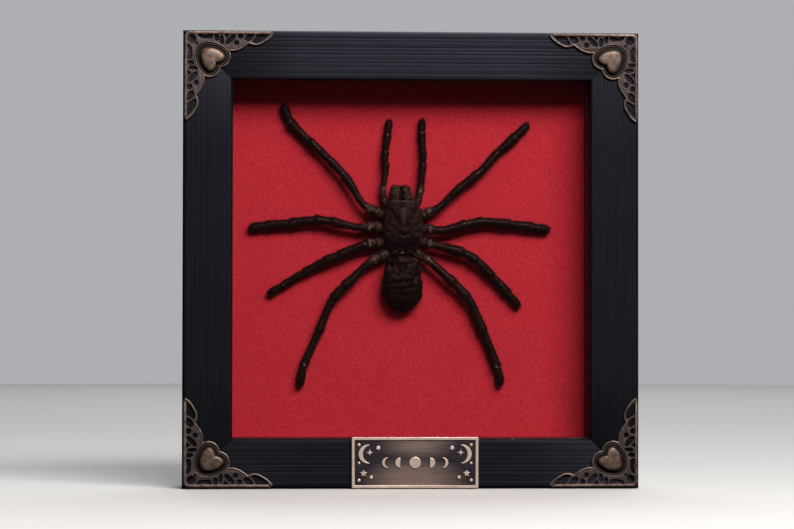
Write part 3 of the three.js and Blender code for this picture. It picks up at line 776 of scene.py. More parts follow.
# %% Tracery, band, wires and rings
SHEET, HOLE_GROWTH = 0.85, 0.12
MOAT, MOAT_FLOOR, OUTER_RING, INNER_RING = 1.95, 2.25, 2.2, 1.35  # how far outside the heart each line runs
moat = in_place(beside(heart_line, MOAT))
wide_holes = [in_place(beside(hole, HOLE_GROWTH)) for hole in corner_holes]
tracery = pierced_sheet("tracery", in_place(corner_outline), [*wide_holes, moat], PLATE_BACK, SHEET, 0.26)
moat_floor = pierced_sheet("moat_floor", in_place(beside(heart_line, MOAT_FLOOR)), [], PLATE_BACK, 0.4, 0.05)
BAND = 1.2
band_end = [(38.3, 0), (37.0, BAND)]
band_line = np.concatenate([arc(CORNER_RADIUS, CORNER_RADIUS, CORNER_RADIUS, 180, 270, 6), band_end,
                            arc(CORNER_RADIUS, CORNER_RADIUS, CORNER_RADIUS - BAND, 270, 180, 6),
                            other_arm(band_end)])
band = pierced_sheet("band", in_place(band_line), [], PLATE_BACK, 1.3, 0.35)
scallop = beside(corner_outline, -0.38)
scallop = scallop[(scallop.min(1) > 0.6) & (scallop.sum(1) > 12)]
scallop_wire = wire("scallop_wire", in_place(scallop), PLATE_BACK - 0.82, 0.43, closed=False)
outer_ring = wire("outer_ring", in_place(beside(heart_line, OUTER_RING)), PLATE_BACK - 0.84, 0.24)
inner_ring = wire("inner_ring", in_place(beside(heart_line, INNER_RING)), PLATE_BACK - 0.68, 0.2)
corner = joined([tracery, moat_floor, band, scallop_wire, outer_ring, inner_ring, heart],
                "bronze_corner_bottom_left")
smooth(corner, 40)
print("corner piece:", triangles(corner), "triangles")

# %% [markdown]
# Aged bronze is dark in the hollows and rubbed bright on the high places. Height above the wood is simply
# the object's Y here, so one map turns it into wear. A cloudy noise breaks the wear up, and fine scratches
# and pits come from the same noise at a smaller scale. Three of the corners get a darker copy of the same
# bronze: painted shade, which evens out how brightly the lamp lights them.

# %% Aged bronze
def aged_bronze(name, low_y, middle_y, high_y, shine):
    """Bronze that is black at low_y, brown at middle_y and rubbed bright at high_y, in millimetres."""
    def dimmed(*colour):
        return tuple(shine * value for value in colour)

    material, shader = finish(name, Metallic=0.6, Specular_IOR_Level=0.2)
    here = place(material)
    height = node(material, "SeparateXYZ", {"Vector": here}).outputs["Y"]
    clouds = grain(material, here, 380, 4, 0.65)
    pits = grain(material, here, 2200, 3, 0.6)
    wear = spread(material, height, middle_y * MM, high_y * MM)
    rubbed = combined(material, "ADD", wear, spread(material, clouds, 0.25, 0.75, -0.2, 0.15), clamp=True)
    brown = blended(material, spread(material, pits, 0.35, 0.65), dimmed(0.072, 0.053, 0.052),
                    dimmed(0.112, 0.084, 0.079))
    hollow = spread(material, height, low_y * MM, middle_y * MM)
    dull = blended(material, hollow, (0.008, 0.0065, 0.006), brown)
    bright = blended(material, spread(material, clouds, 0.38, 0.62), dimmed(0.28, 0.192, 0.145),
                     dimmed(0.125, 0.081, 0.066))
    link(material, blended(material, rubbed, dull, bright), shader.inputs["Base Color"])
    link(material, spread(material, rubbed, 0, 1, 0.6, 0.44), shader.inputs["Roughness"])
    dented(material, shader, combined(material, "ADD", pits, clouds), 0.09, 0.6)
    return material


corner_levels = (PLATE_BACK - 0.6, PLATE_BACK - SHEET, PLATE_BACK - 1.1)
corner_bronze = aged_bronze("aged_bronze_corner", *corner_levels, shine=0.9)
# This darker copy is painted shade for three corners.
bronze_painted_shade = aged_bronze("bronze_painted_shade_corner", *corner_levels, shine=0.75)
corners = {"bottom_left": corner}
for name, quarters in (("top_left", 1), ("top_right", 2), ("bottom_right", 3)):
    corners[name] = turned(copied(corner, f"bronze_corner_{name}"), quarters)
for name, piece in corners.items():
    bronze = corner_bronze if name == "top_left" else bronze_painted_shade
    mount(piece, "aged_bronze", f"corner_{name}", finish=bronze)

# %% [markdown]
# ## The bronze plate
#
# The plate on the bottom rail is a flat casting with a raised border. Its face is inset and pushed back,
# which leaves the border standing. Crescents, stars and dots stand on the face at its ends, and the moon's
# phases stand in a row between them. All of them are small flat curves with a bevel.

# %% Blank of the plate
PLATE_X, PLATE_Z = 1.6, 11.5
PLATE_WIDTH, PLATE_HEIGHT = 56.2, 22.6
PLATE_FRONT, PLATE_GROUND = PLATE_BACK - 1.7, PLATE_BACK - 1.2
PLATE_BORDER, PLATE_CORNER = 1.25, 0.6
blank = block((PLATE_X - PLATE_WIDTH / 2, PLATE_FRONT, PLATE_Z - PLATE_HEIGHT / 2),
              (PLATE_X + PLATE_WIDTH / 2, PLATE_BACK, PLATE_Z + PLATE_HEIGHT / 2))
open_mesh(blank)
pick(blank, "face", lambda middle: near(middle.y, [PLATE_FRONT]))
bpy.ops.mesh.inset(thickness=PLATE_BORDER * MM)
pull(0, PLATE_GROUND - PLATE_FRONT, 0)
pick(blank, "edge", lambda middle: near(middle.y, [(PLATE_FRONT + PLATE_BACK) / 2]))
bpy.ops.mesh.bevel(offset=PLATE_CORNER * MM, segments=5, affect="EDGES")
close_mesh()
soften_edges(blank, 0.14, 2)


# %% Moons, stars and dots
def star_line(x, z, tips, outer, inner):
    angle = math.pi / 2 + np.arange(2 * tips) * math.pi / tips
    radius = np.where(np.arange(2 * tips) % 2, inner, outer)
    return np.stack([x + radius * np.cos(angle), z + radius * np.sin(angle)], 1)


def crescent_line(x, z, radius, shift, facing):
    tip = math.degrees(math.acos(shift / 2 / radius))
    outer = arc(0, 0, radius, tip, 360 - tip, 22)
    inner = arc(shift, 0, radius, 180 + tip, 180 - tip, 18)[1:-1]
    return np.concatenate([outer, inner]) * (facing, 1) + (x, z)


def raised(name, line, edge=0.14):
    line = np.array(line) + (PLATE_X, PLATE_Z)
    return pierced_sheet(name, line, [], PLATE_GROUND + 0.1, 0.6, edge)


DOTS = [(24.9, 7.9, 0.7), (16.4, 6.5, 0.95), (24.9, -0.2, 0.6), (19.5, -6.5, 0.8), (24.9, -7.8, 0.7)]
ornaments = [raised("full_moon", ellipse(0, 0, 2.6, 2.6, 0, 32), 0.25)]
for side in (-1, 1):
    ornaments.append(raised("crescent", crescent_line(side * 21.0, 3.8, 4.15, 1.9, -side)))
    ornaments.append(raised("cross_star", star_line(side * 20.2, 4.5, 4, 1.5, 0.55), 0.1))
    ornaments.append(raised("star", star_line(side * 22.9, -4.7, 5, 1.65, 0.75), 0.1))
    ornaments.append(raised("young_moon", crescent_line(side * 12.4, 0, 2.3, 1.2, -side), 0.12))
    half = arc(side * 6.6, 0, 2.3, -90 if side > 0 else 90, 90 if side > 0 else 270, 18)
    ornaments.append(raised("half_moon", half, 0.2))
    for x, z, radius in DOTS:
        ornaments.append(raised("dot", ellipse(side * x, z, radius, radius, 0, 20), 0.25))
plate = joined([blank, *ornaments], "bronze_plate")
smooth(plate, 40)
open_mesh(plate)
pick(plate, "face", lambda middle: near(middle.y, [PLATE_GROUND, PLATE_FRONT], 0.005))
bpy.ops.mesh.faces_shade_flat()
close_mesh()


# %% Brushed bronze of the plate
plate_bronze, shader = finish("brushed_bronze_plate", Metallic=0.5, Specular_IOR_Level=0.35)
here = place(plate_bronze)
strokes = grain(plate_bronze, place(plate_bronze, (0.04, 1, 1)), 1300, 4, 0.7)
clouds = grain(plate_bronze, here, 130, 3, 0.6)
parts = node(plate_bronze, "SeparateXYZ", {"Vector": here})
lifted = spread(plate_bronze, parts.outputs["Y"], (PLATE_GROUND - 0.12) * MM, (PLATE_GROUND - 0.4) * MM)


def plate_highlight_at(x, z, reach_x, reach_z, strength):
    """A soft oval patch of painted highlight on the plate: strength in its middle, and nothing at its edge."""
    where = node(plate_bronze, "VectorMath", {0: here, 1: (x * MM, 0, z * MM)}, operation="SUBTRACT").outputs[0]
    where = node(plate_bronze, "VectorMath", {0: where, 1: (1 / reach_x / MM, 0, 1 / reach_z / MM)},
                 operation="MULTIPLY").outputs[0]
    far = node(plate_bronze, "VectorMath", {0: where}, operation="LENGTH").outputs["Value"]
    return spread(plate_bronze, far, 1, 0, 0, strength)


# Two soft pale patches on the dark face, low in the middle and at the top, are painted highlights: the lamp's
# gleam on the brushed metal.
plate_highlight = combined(plate_bronze, "MAXIMUM", plate_highlight_at(PLATE_X, 4, 24, 10.5, 1.7),
                plate_highlight_at(PLATE_X + 1, 20, 18, 8, 1.3))
plate_highlight = combined(plate_bronze, "MULTIPLY", plate_highlight, spread(plate_bronze, strokes, 0.25, 0.7, 0.6, 1.1), clamp=True)
ground = blended(plate_bronze, spread(plate_bronze, strokes, 0.3, 0.7), (0.023, 0.018, 0.025),
                 (0.042, 0.034, 0.043))
ground = blended(plate_bronze, plate_highlight, ground, (0.27, 0.185, 0.155))
bright = blended(plate_bronze, spread(plate_bronze, clouds, 0.35, 0.7), (0.80, 0.62, 0.51), (0.62, 0.46, 0.39))
link(plate_bronze, blended(plate_bronze, lifted, ground, bright), shader.inputs["Base Color"])
link(plate_bronze, spread(plate_bronze, strokes, 0.2, 0.8, 0.36, 0.5), shader.inputs["Roughness"])
dented(plate_bronze, shader, strokes, 0.04, 0.5)
mount(plate, "aged_bronze", "name_plate", finish=plate_bronze)

# %% [markdown]
# ## The back
#
# From behind, the frame is closed by a brown hardboard panel over grey card. Zinc-plated tabs hold the
# panel, and a zinc hanger with a row of teeth is nailed to the top rail. The flat parts keep the model's
# own meshes and get their finish here.

# %% Board, card and zinc
hardboard, shader = finish("brown_hardboard", Roughness=0.72, Specular_IOR_Level=0.3)
here = place(hardboard)
chips = grain(hardboard, here, 420, 6, 0.75)
blots = grain(hardboard, here, 26, 4, 0.6)
colour = blended(hardboard, spread(hardboard, chips, 0.35, 0.65), (0.16, 0.085, 0.042), (0.27, 0.16, 0.085))
colour = blended(hardboard, spread(hardboard, blots, 0.4, 0.75, 0, 0.5), colour, (0.19, 0.105, 0.055))
link(hardboard, colour, shader.inputs["Base Color"])
dented(hardboard, shader, chips, 0.12, 0.6)

card, shader = finish("grey_card", Roughness=0.85)
fibre = grain(card, place(card), 900, 4, 0.7)
link(card, blended(card, fibre, (0.36, 0.34, 0.30), (0.50, 0.47, 0.42)), shader.inputs["Base Color"])

zinc, shader = finish("zinc_plate", Metallic=0.9)
scuffs = grain(zinc, place(zinc, (0.2, 1, 1)), 1500, 4, 0.7)
spangle = node(zinc, "TexVoronoi", {"Vector": place(zinc), "Scale": 450.0}).outputs["Color"]
flakes = node(zinc, "RGBToBW", {"Color": spangle}).outputs[0]
link(zinc, blended(zinc, spread(zinc, flakes, 0, 1, 0, 0.5), (0.50, 0.51, 0.52), (0.66, 0.66, 0.65)),
     shader.inputs["Base Color"])
link(zinc, spread(zinc, scuffs, 0.25, 0.75, 0.28, 0.46), shader.inputs["Roughness"])
dented(zinc, shader, scuffs, 0.02, 0.4)

back_finishes = {"back_panel": hardboard, "backing_board": card, "hanger": zinc}
back_finishes.update({f"panel_tab_{number}": zinc for number in range(1, 9)})
for name, material in back_finishes.items():
    coat_with(frame["nodes"][name], material)

# %% [markdown]
# A nail is a round bar with a wider domed head. It starts as a short cylinder for the head. The face
# towards the wood is inset to the shank's width and pulled out to its length, and the other face is drawn
# in twice for the dome.

# %% Nails of the hanger
HANGER_BACK = BACK + 0.9
HEAD_FRONT = HANGER_BACK + 0.3
HEAD_RADIUS, HEAD_THICKNESS, SHANK_RADIUS = 2, 0.4, 0.7
SHANK_LENGTH, POINT_LENGTH = 10, 1
nothing_selected()
bpy.ops.mesh.primitive_cylinder_add(
    vertices=24, radius=HEAD_RADIUS * MM, depth=HEAD_THICKNESS * MM, rotation=(math.pi / 2, 0, 0),
    location=(-NAIL_X * MM, (HEAD_FRONT + HEAD_THICKNESS / 2) * MM, NAIL_Z * MM))
nail = named(settle(bpy.context.object), "nail_left")
open_mesh(nail)
pick(nail, "face", lambda middle: middle.y < HEAD_FRONT + TOLERANCE)
bpy.ops.mesh.inset(thickness=(HEAD_RADIUS - SHANK_RADIUS) * MM)
pull(0, -SHANK_LENGTH, 0)
pull(0, -POINT_LENGTH, 0)
bpy.ops.transform.resize(value=(0.1, 1, 0.1))
pick(nail, "face", lambda middle: middle.y > HEAD_FRONT + HEAD_THICKNESS - TOLERANCE)
for inset, rise in ((0.35, 0.3), (0.6, 0.15)):
    bpy.ops.mesh.inset(thickness=inset * MM)
    bpy.ops.transform.translate(value=(0, rise * MM, 0))
close_mesh()
clean_skin(nail)
smooth(nail, 40)
other_nail = copied(nail, "nail_right")
other_nail.matrix_world = Matrix.Translation((2 * NAIL_X * MM, 0, 0))
settle(other_nail)
mount(nail, "zinc_steel", "hanger_nail_left", finish=zinc)
mount(other_nail, "zinc_steel", "hanger_nail_right", finish=zinc)

# %% [markdown]
# ## The spider's skins
#
# Every limb of the model is a row of eight-sided rings, and the body is made the same way. Its skin is a
# copy of that mesh. The copy's loose triangles are merged and paired into squares, and a Subdivision
# Surface rounds them. The real limb isn't one smooth tube: it narrows at each joint and swells beside it.
# So the points are moved towards the limb's middle line near each joint, which is what sculpting it by hand
# would do.

# %% Copies of the solids with square faces
def skin_of(name):
    skin = placed(f"skin_{name}", frame["nodes"][name].data.copy())
    clean_skin(skin, 0.01)
    open_mesh(skin)
    bpy.ops.mesh.customdata_custom_splitnormals_clear()
    bpy.ops.mesh.tris_convert_to_quads()
    close_mesh()
    return skin


def rounded(skin, levels):
    apply_modifier(skin, "SUBSURF", levels=levels, render_levels=levels)
    return skin


def rows_of(piece, what):
    flat = np.empty(len(piece.data.vertices) * 3, np.float32)
    piece.data.vertices.foreach_get(what, flat)
    return flat.reshape(-1, 3).astype(float)


def points_of(piece):
    """All points of a mesh as rows of x, y, z in millimetres."""
    return rows_of(piece, "co") / MM


def put_points(piece, points):
    piece.data.vertices.foreach_set("co", (points * MM).astype(np.float32).ravel())
    piece.data.update()


def outwards_of(piece):
    return rows_of(piece, "normal")


def paint(piece, **layers):
    """Stores numbers at the points, which a finish can read by their name."""
    for name, values in layers.items():
        layer = piece.data.attributes.new(name, "FLOAT", "POINT")
        clipped = np.broadcast_to(np.clip(values, 0, 1), len(layer.data))
        layer.data.foreach_set("value", clipped.astype(np.float32))


def rough(points, scale, seed=0.0):
    """Smooth noise at each point, from -1 to 1, with spots about scale millimetres wide."""
    return np.array([noise.noise(Vector(point / scale) + Vector((seed, 0, 0))) for point in points])


def bell(distance, width):
    return np.exp(-((distance / width) ** 2))


# %% Middle line of a limb
BODY_MIDDLE = Vector((-3.0, -2.0, 116.0)) * MM


def ring_middles(skin):
    """Middles of a limb's rings in millimetres, from the body outwards."""
    mesh = bmesh.new()
    mesh.from_mesh(skin.data)
    poles = [point for point in mesh.verts if len(point.link_edges) == 8]
    ring = [min(poles, key=lambda pole: (pole.co - BODY_MIDDLE).length)]
    seen = set(ring)
    middles = []
    while True:
        ring = list({edge.other_vert(point) for point in ring for edge in point.link_edges} - seen)
        if len(ring) < 8:
            break
        seen.update(ring)
        middles.append(np.mean([point.co[:] for point in ring], axis=0) / MM)
    mesh.free()
    return np.array(middles)


def middle_line(middles, steps=16):
    """The smooth line near the ring middles: its points, its station numbers and its headings."""
    padded = np.concatenate([2 * middles[:1] - middles[1:2], middles, 2 * middles[-1:] - middles[-2:-1]])
    stations = np.arange(0, len(middles) - 1 + 1e-9, 1 / steps)
    low = np.minimum(stations.astype(int), len(middles) - 2)
    t = (stations - low)[:, None]
    a, b, c, d = (padded[low + offset] for offset in range(4))
    line = ((1 - t) ** 3 * a + (3 * t**3 - 6 * t**2 + 4) * b
            + (-3 * t**3 + 3 * t**2 + 3 * t + 1) * c + t**3 * d) / 6
    heading = np.gradient(line, axis=0)
    return line, stations, heading / np.linalg.norm(heading, axis=1)[:, None]


def nearest(points, line):
    return np.concatenate([np.linalg.norm(part[:, None] - line[None], axis=2).argmin(1)
                           for part in np.array_split(points, max(1, len(points) // 2000))])


# %% Shaping one limb
LEG_JOINTS = [1.9, 3.0, 6.0, 7.0, 9.0, 11.0]
PALP_JOINTS = [1.9, 3.0, 5.6, 6.8, 8.6]
LIMB_GROWTH = 0.98
HIP_PINCH, JOINT_PINCH, JOINT_SWELL = 0.12, 0.25, 0.05  # shares of the limb's width
limb_lines = {}


def shaped_limb(name, joints, seed):
    skin = skin_of(name)
    line, stations, heading = middle_line(ring_middles(skin))
    points = points_of(rounded(skin, 3))
    at = nearest(points, line)
    run = np.concatenate([[0], np.cumsum(np.linalg.norm(np.diff(line, axis=0), axis=1))])
    how_far = run[at]
    ends = np.interp([0, *joints, stations[-1]], stations, run)
    segment = np.clip(np.searchsorted(ends, how_far) - 1, 0, len(ends) - 2)
    share = (how_far - ends[segment]) / (ends[segment + 1] - ends[segment])
    size = LIMB_GROWTH * (0.90 + 0.26 * share**2 + 0.06 * rough(points, 2.0, seed))
    tan = np.clip((3.7 - stations[at]) / 0.9, 0, 1) * np.clip(0.5 + 1.2 * rough(points, 0.9, seed + 3), 0.05, 1)
    for number, joint in enumerate(ends[1:-1]):
        size -= (HIP_PINCH if number < 2 else JOINT_PINCH) * bell(how_far - joint - 0.2, 0.5)
        size += JOINT_SWELL * bell(how_far - joint + 0.8, 0.5)
    shaped = line[at] + (points - line[at]) * size[:, None]
    shaped[:, 1] = np.minimum(shaped[:, 1], CLOTH_FRONT - 0.1)
    put_points(skin, shaped)
    outwards = outwards_of(skin)
    # Pale paint is kept to points that face the front, where the lamp catches them. The pale spots at the hips
    # are dried membrane and painted highlight in one, and the speck at the last joint is a painted highlight.
    facing = np.clip(-outwards[:, 1] * 1.6 - 0.3, 0, 1)
    spots = np.clip(0.1 + 2.8 * rough(points, 0.8, seed + 7), 0, 1)
    pale = 0.65 * bell(how_far - ends[2] + 0.2, 0.8) * spots + 0.2 * bell(how_far - ends[1], 0.6) * spots
    pale += 1.0 * bell(how_far - ends[-2], 0.28) * bell(outwards[:, 1] + 1, 0.12)
    dim = 0.7 * sum(bell(how_far - joint - 0.2, 0.4) for joint in ends[1:-2])
    paint(skin, tan=tan, pale=pale * facing, dim=dim)
    smooth(skin, 80)
    limb_lines[name] = (line, heading, stations)
    return skin


skins = {}
for number, side in enumerate(("left", "right")):
    for leg in range(1, 5):
        name = f"leg_{side}_{leg}"
        skins[name] = shaped_limb(name, LEG_JOINTS, 10 * number + leg)
    skins[f"pedipalp_{side}"] = shaped_limb(f"pedipalp_{side}", PALP_JOINTS, 10 * number + 5)
print("limbs shaped:", len(skins), "with", sum(triangles(skin) for skin in skins.values()), "triangles")


# %% [markdown]
# The front of the body is a shield. A V of two grooves parts the head from the rest, shorter grooves run
# out from a deep pit in the middle, and the eyes sit together on a small mound near the front. The abdomen
# is a soft bag that has dried into lumps and creases. Both are shaped by moving points as a function of
# their place.

# %% Carapace
def on_spider(points):
    """Millimetres right of the spider's midline, above its waist, and in front of the cloth."""
    return points[:, 0] - SPIDER_MIDDLE[0], points[:, 2] - SPIDER_MIDDLE[1], CLOTH_FRONT - points[:, 1]


def from_line(x, z, start, end):
    """Distance of each place from a straight stroke."""
    start, end = np.array(start, float), np.array(end, float)
    span = end - start
    share = np.clip(((x - start[0]) * span[0] + (z - start[1]) * span[1]) / (span @ span), 0, 1)
    return np.hypot(x - start[0] - share * span[0], z - start[1] - share * span[1])


PIT_X, EYE_HILL_X = 0.4, -0.1
SHIELD_RIM, SHIELD_DOME = 7.6, 1.2
HEAD_GROOVE = ((5.4, 18.8), (1.2, 11.5))
SIDE_GROOVES_START = (2.2, 8.4)
SIDE_GROOVE_ENDS = ((7.2, 13.2), (7.8, 9.2), (6.6, 5.2), (3.8, 3.0))
carapace = rounded(skin_of("carapace"), 4)
points = points_of(carapace)
x, z, height = on_spider(points)
top = np.clip((height - SHIELD_RIM) / SHIELD_DOME, 0, 1)
rise = 0.7 * bell(x - EYE_HILL_X, 1.3) * bell(z - 21.3, 1.0) + 0.4 * bell(x, 2.6) * bell(z - 15.5, 4.5)
grooves = np.zeros(len(points))
for side in (-1, 1):
    start, end = ((side * across, along) for across, along in HEAD_GROOVE)
    groove = bell(from_line(x, z, start, end), 0.9)
    grooves += groove
    rise -= 0.45 * groove
    start = (side * SIDE_GROOVES_START[0], SIDE_GROOVES_START[1])
    for across, along in SIDE_GROOVE_ENDS:
        rise -= 0.28 * bell(from_line(x, z, start, (side * across, along)), 0.8)
    rise -= 0.35 * bell(np.hypot(x - PIT_X - side * 1.7, z - 9.4), 0.7)
lip_line = z - 6.8 - 0.22 * (x - PIT_X) ** 2
rise -= 0.9 * bell(x - PIT_X, 1.2) * bell(z - 7.9 - 0.12 * (x - PIT_X) ** 2, 0.6)
rise += 0.20 * bell(x - PIT_X, 1.9) * bell(lip_line, 0.3)
rise += 0.34 * rough(points, 2.4, 1) + 0.12 * rough(points, 1.2) + 0.03 * rough(points, 0.5, 3)
points[:, 1] -= rise * top
put_points(carapace, points)
edge = bell(height - 7.5, 0.32) * np.clip((np.abs(x) - 3) / 2, 0, 1) * (z > 3)
front_edge = bell(z - 23.15, 0.16) * (height > 6.5)
# The pale line along the pit's lip is a painted highlight.
lip = bell(x - PIT_X, 1.2) * bell(lip_line, 0.2) * top
wedge = np.clip(1 - np.abs(x) / (0.35 + 0.16 * np.clip(z - 11, 0, 9)), 0, 1) * np.clip((z - 10.5) / 3, 0, 1)
wedge *= np.clip((20.4 - z) / 0.8, 0, 1)
near_edge = bell(height - 7.9, 1.0) * np.clip(0.4 + rough(points, 1.8, 8), 0, 1)
# Painted shade darkens the shield at the waist where it meets the abdomen, in the pit and along the grooves.
# The shield is also darker towards the rear and in a patch round the eye mound.
dim = 0.9 * np.clip((1.6 - z) / 0.8, 0, 1) + 0.5 * bell(np.hypot(x - PIT_X, z - 8.2), 1.1) * top
dim += 0.8 * bell(np.hypot(x - EYE_HILL_X, z - 21.4), 0.8)
dim += (0.75 * np.clip((11 - z) / 6, 0, 1) + 0.55 * grooves) * top
tan = wedge + 0.35 * np.clip(rough(points, 1.6, 6), 0, 1) + 0.5 * near_edge
paint(carapace, tan=tan, pale=0.28 * edge + 0.3 * front_edge + 0.35 * lip, dim=dim)
smooth(carapace, 80)
skins["carapace"] = carapace

# %% Abdomen and jaws
CREASES = (((-5, -5.6), (4, -5)), ((-6, -10), (-1, -9)), ((1, -9.4), (6, -11)), ((-6.5, -14), (1, -13.2)),
           ((0, -16.6), (7, -15)), ((-5, -18.6), (2, -19.6)))
abdomen = rounded(skin_of("abdomen"), 4)
points = points_of(abdomen)
x, z, _ = on_spider(points)
creases = sum(bell(from_line(x, z, start, end), 0.7) for start, end in CREASES)
lumps = 0.75 * rough(points, 3.4) + 0.35 * rough(points, 1.6, 5) + 0.06 * rough(points, 0.6, 9) - 0.6 * creases
put_points(abdomen, points + outwards_of(abdomen) * lumps[:, None])
tan = np.clip((z + 18) / 5, 0, 1) * np.clip(0.3 + 1.8 * rough(points, 1.8, 2), 0, 1)
paint(abdomen, tan=tan, pale=0, dim=0)
smooth(abdomen, 80)
skins["abdomen"] = abdomen

# Each jaw's middle and half width, at its root and its tip, and the way to the midline.
JAWS = {"left": ((-3.7, -3.45), (2.9, 2.1), 1), "right": ((2.0, 1.0), (2.6, 2.0), -1)}
for number, (side, (jaw_middle, jaw_half, inwards)) in enumerate(JAWS.items()):
    jaw = rounded(skin_of(f"chelicera_{side}"), 3)
    points = points_of(jaw)
    x, z, height = on_spider(points)
    half = np.interp(z, (23.8, 29.5), jaw_half)
    across = (x - np.interp(z, (24, 29.5), jaw_middle)) / half
    points[:, 0] += half * (np.sign(across) * np.abs(across) ** 0.75 - across)
    points[:, 0] += inwards * 0.5 * np.clip(across * inwards, 0, 1) * np.clip((6.8 - height) / 1.5, 0, 1)
    points[:, 2] -= 0.35 * np.clip(z - 29, 0, 2) + 0.9 * np.clip((24.9 - z) / 1.1, 0, 1)
    put_points(jaw, points)
    lumps = 0.2 * rough(points, 1.6, number) + 0.08 * rough(points, 0.6)
    put_points(jaw, points + outwards_of(jaw) * lumps[:, None])
    paint(jaw, tan=np.clip(0.15 + 1.4 * rough(points, 1.3, 4 + number), 0, 0.8), pale=0, dim=0)
    smooth(jaw, 80)
    skins[f"chelicera_{side}"] = jaw
print("body:", {name: triangles(skin) for name, skin in skins.items() if name not in limb_lines})

# %% [markdown]
# Dry cuticle is dark reddish brown, and nearly black in the joints. The thighs have a satin gloss, because
# their skin is smooth under the hairs, while the shield and the abdomen are nearly matt. The hips are tan,
# and dried membrane shows there in a few pale spots, with a painted highlight on their front. A pale painted
# highlight also sits at the last joint of each limb and on the lip of the shield's pit, and painted shade
# darkens the shield's waist, pit and grooves. The tan, the pale spots, the dark joints and the painted shade
# were painted on the points above, and the finish reads them by name.

# %% Cuticle
def cuticle(name, deep, brown, patch, gloss, smoothest):
    """Skin from deep to brown, with patches of another colour where tan is painted. smoothest is its gloss."""
    material, shader = finish(name, Specular_IOR_Level=gloss, Specular_Tint=(1.0, 0.56, 0.54, 1))
    here = place(material)
    skin_grain = grain(material, here, 900, 5, 0.7)
    blotches = grain(material, here, 260, 4, 0.6)
    dark = blended(material, spread(material, blotches, 0.3, 0.7), deep, brown)
    dark_patch = tuple(0.4 * value for value in patch)
    mottled = blended(material, spread(material, skin_grain, 0.35, 0.65), dark_patch, patch)
    colour = blended(material, painted(material, "tan"), dark, mottled)
    # The pale colour is membrane and painted highlight, and the near-black is dark joints and painted shade.
    colour = blended(material, painted(material, "pale"), colour, (0.46, 0.29, 0.29))
    colour = blended(material, painted(material, "dim"), colour, (0.0018, 0.0010, 0.0009))
    link(material, colour, shader.inputs["Base Color"])
    link(material, spread(material, blotches, 0.35, 0.65, smoothest, smoothest + 0.35),
         shader.inputs["Roughness"])
    dented(material, shader, skin_grain, 0.12, 0.7)
    return material


limb_skin = cuticle("limb_cuticle", (0.0062, 0.0020, 0.0019), (0.016, 0.0050, 0.0047), (0.098, 0.047, 0.035),
                    0.2, 0.3)
shield_skin = cuticle("shield_cuticle", (0.009, 0.0036, 0.0036), (0.023, 0.0086, 0.0086), (0.072, 0.036, 0.041),
                      0.08, 0.42)
bag_skin = cuticle("abdomen_cuticle", (0.0022, 0.0012, 0.0010), (0.0045, 0.0023, 0.0020),
                   (0.034, 0.0165, 0.0155), 0.08, 0.42)
jaw_skin = cuticle("jaw_cuticle", (0.012, 0.0052, 0.0046), (0.030, 0.0130, 0.0108), (0.135, 0.068, 0.055),
                   0.12, 0.5)
skin_finishes = {"carapace": shield_skin, "abdomen": bag_skin, "chelicera_left": jaw_skin,
                 "chelicera_right": jaw_skin}
for name, skin in skins.items():
    mount(skin, "spider_shell", name, finish=skin_finishes.get(name, limb_skin))

# %% [markdown]
# ## Hairs
#
# A tarantula is hairy all over. Each hair is a thin three-sided spike of four triangles, and a leg has some
# thousands of them. They are made as arrays of numbers and joined into one mesh, because thousands of
# separate objects would be slow. A hair stands on the skin, leans towards the limb's tip, and varies a
# little in length, thickness and shade. The random numbers start from a fixed seed, so every run grows the
# same coat.

# %% Growing hairs
HAIR_SINK = 0.05  # a hair's foot starts this far under the skin


def grow_hairs(skin, name, count, length, thickness, lean, heading, seed, density=None, long_share=0.03):
    """Sows hairs on a skin. Lengths are in millimetres, and lean is in degrees away from straight up."""
    rng = np.random.default_rng(seed)
    skin.data.calc_loop_triangles()
    corners = np.array([triangle.vertices[:] for triangle in skin.data.loop_triangles])
    points, outwards = points_of(skin), outwards_of(skin)
    a, b, c = (points[corners[:, corner]] for corner in range(3))
    area = np.linalg.norm(np.cross(b - a, c - a), axis=1)
    if density is not None:
        area = area * density((a + b + c) / 3)
    chosen = rng.choice(len(corners), count, p=area / area.sum())
    u, v = rng.random(count), rng.random(count)
    over = u + v > 1
    u[over], v[over] = 1 - u[over], 1 - v[over]
    shares = np.stack([1 - u - v, u, v], 1)[:, :, None]
    root = (points[corners[chosen]] * shares).sum(1)
    out = (outwards[corners[chosen]] * shares).sum(1)
    out /= np.linalg.norm(out, axis=1)[:, None]
    forward = heading(root)
    lean_now = np.radians(lean + rng.normal(0, 9, count))[:, None]
    grow = out * np.cos(lean_now) + forward * np.sin(lean_now) + rng.normal(0, 0.13, (count, 3))
    grow /= np.linalg.norm(grow, axis=1)[:, None]
    size = length * rng.uniform(0.55, 1.15, count)
    size[rng.random(count) < long_share] *= 1.7
    first = np.cross(grow, rng.normal(size=(count, 3)))
    first /= np.linalg.norm(first, axis=1)[:, None]
    second = np.cross(grow, first)
    radius = (thickness / 2 * rng.uniform(0.7, 1.2, count))[:, None]
    foot = root - HAIR_SINK * out
    spikes = np.empty((count, 4, 3))
    for corner in range(3):
        angle = 2 * np.pi * corner / 3
        spikes[:, corner] = foot + radius * (first * np.cos(angle) + second * np.sin(angle))
    spikes[:, 3] = foot + grow * (size[:, None] + HAIR_SINK)
    faces = np.array([(0, 1, 3), (1, 2, 3), (2, 0, 3), (0, 2, 1)])[None] + 4 * np.arange(count)[:, None, None]
    mesh = bpy.data.meshes.new(name)
    mesh.from_pydata((spikes.reshape(-1, 3) * MM).tolist(), [], faces.reshape(-1, 3).tolist())
    coat = placed(name, mesh)
    paint(coat, shade=np.repeat(rng.random(count), 4), tip=np.tile([0, 0, 0, 1.0], count))
    smooth(coat, 80)
    return coat


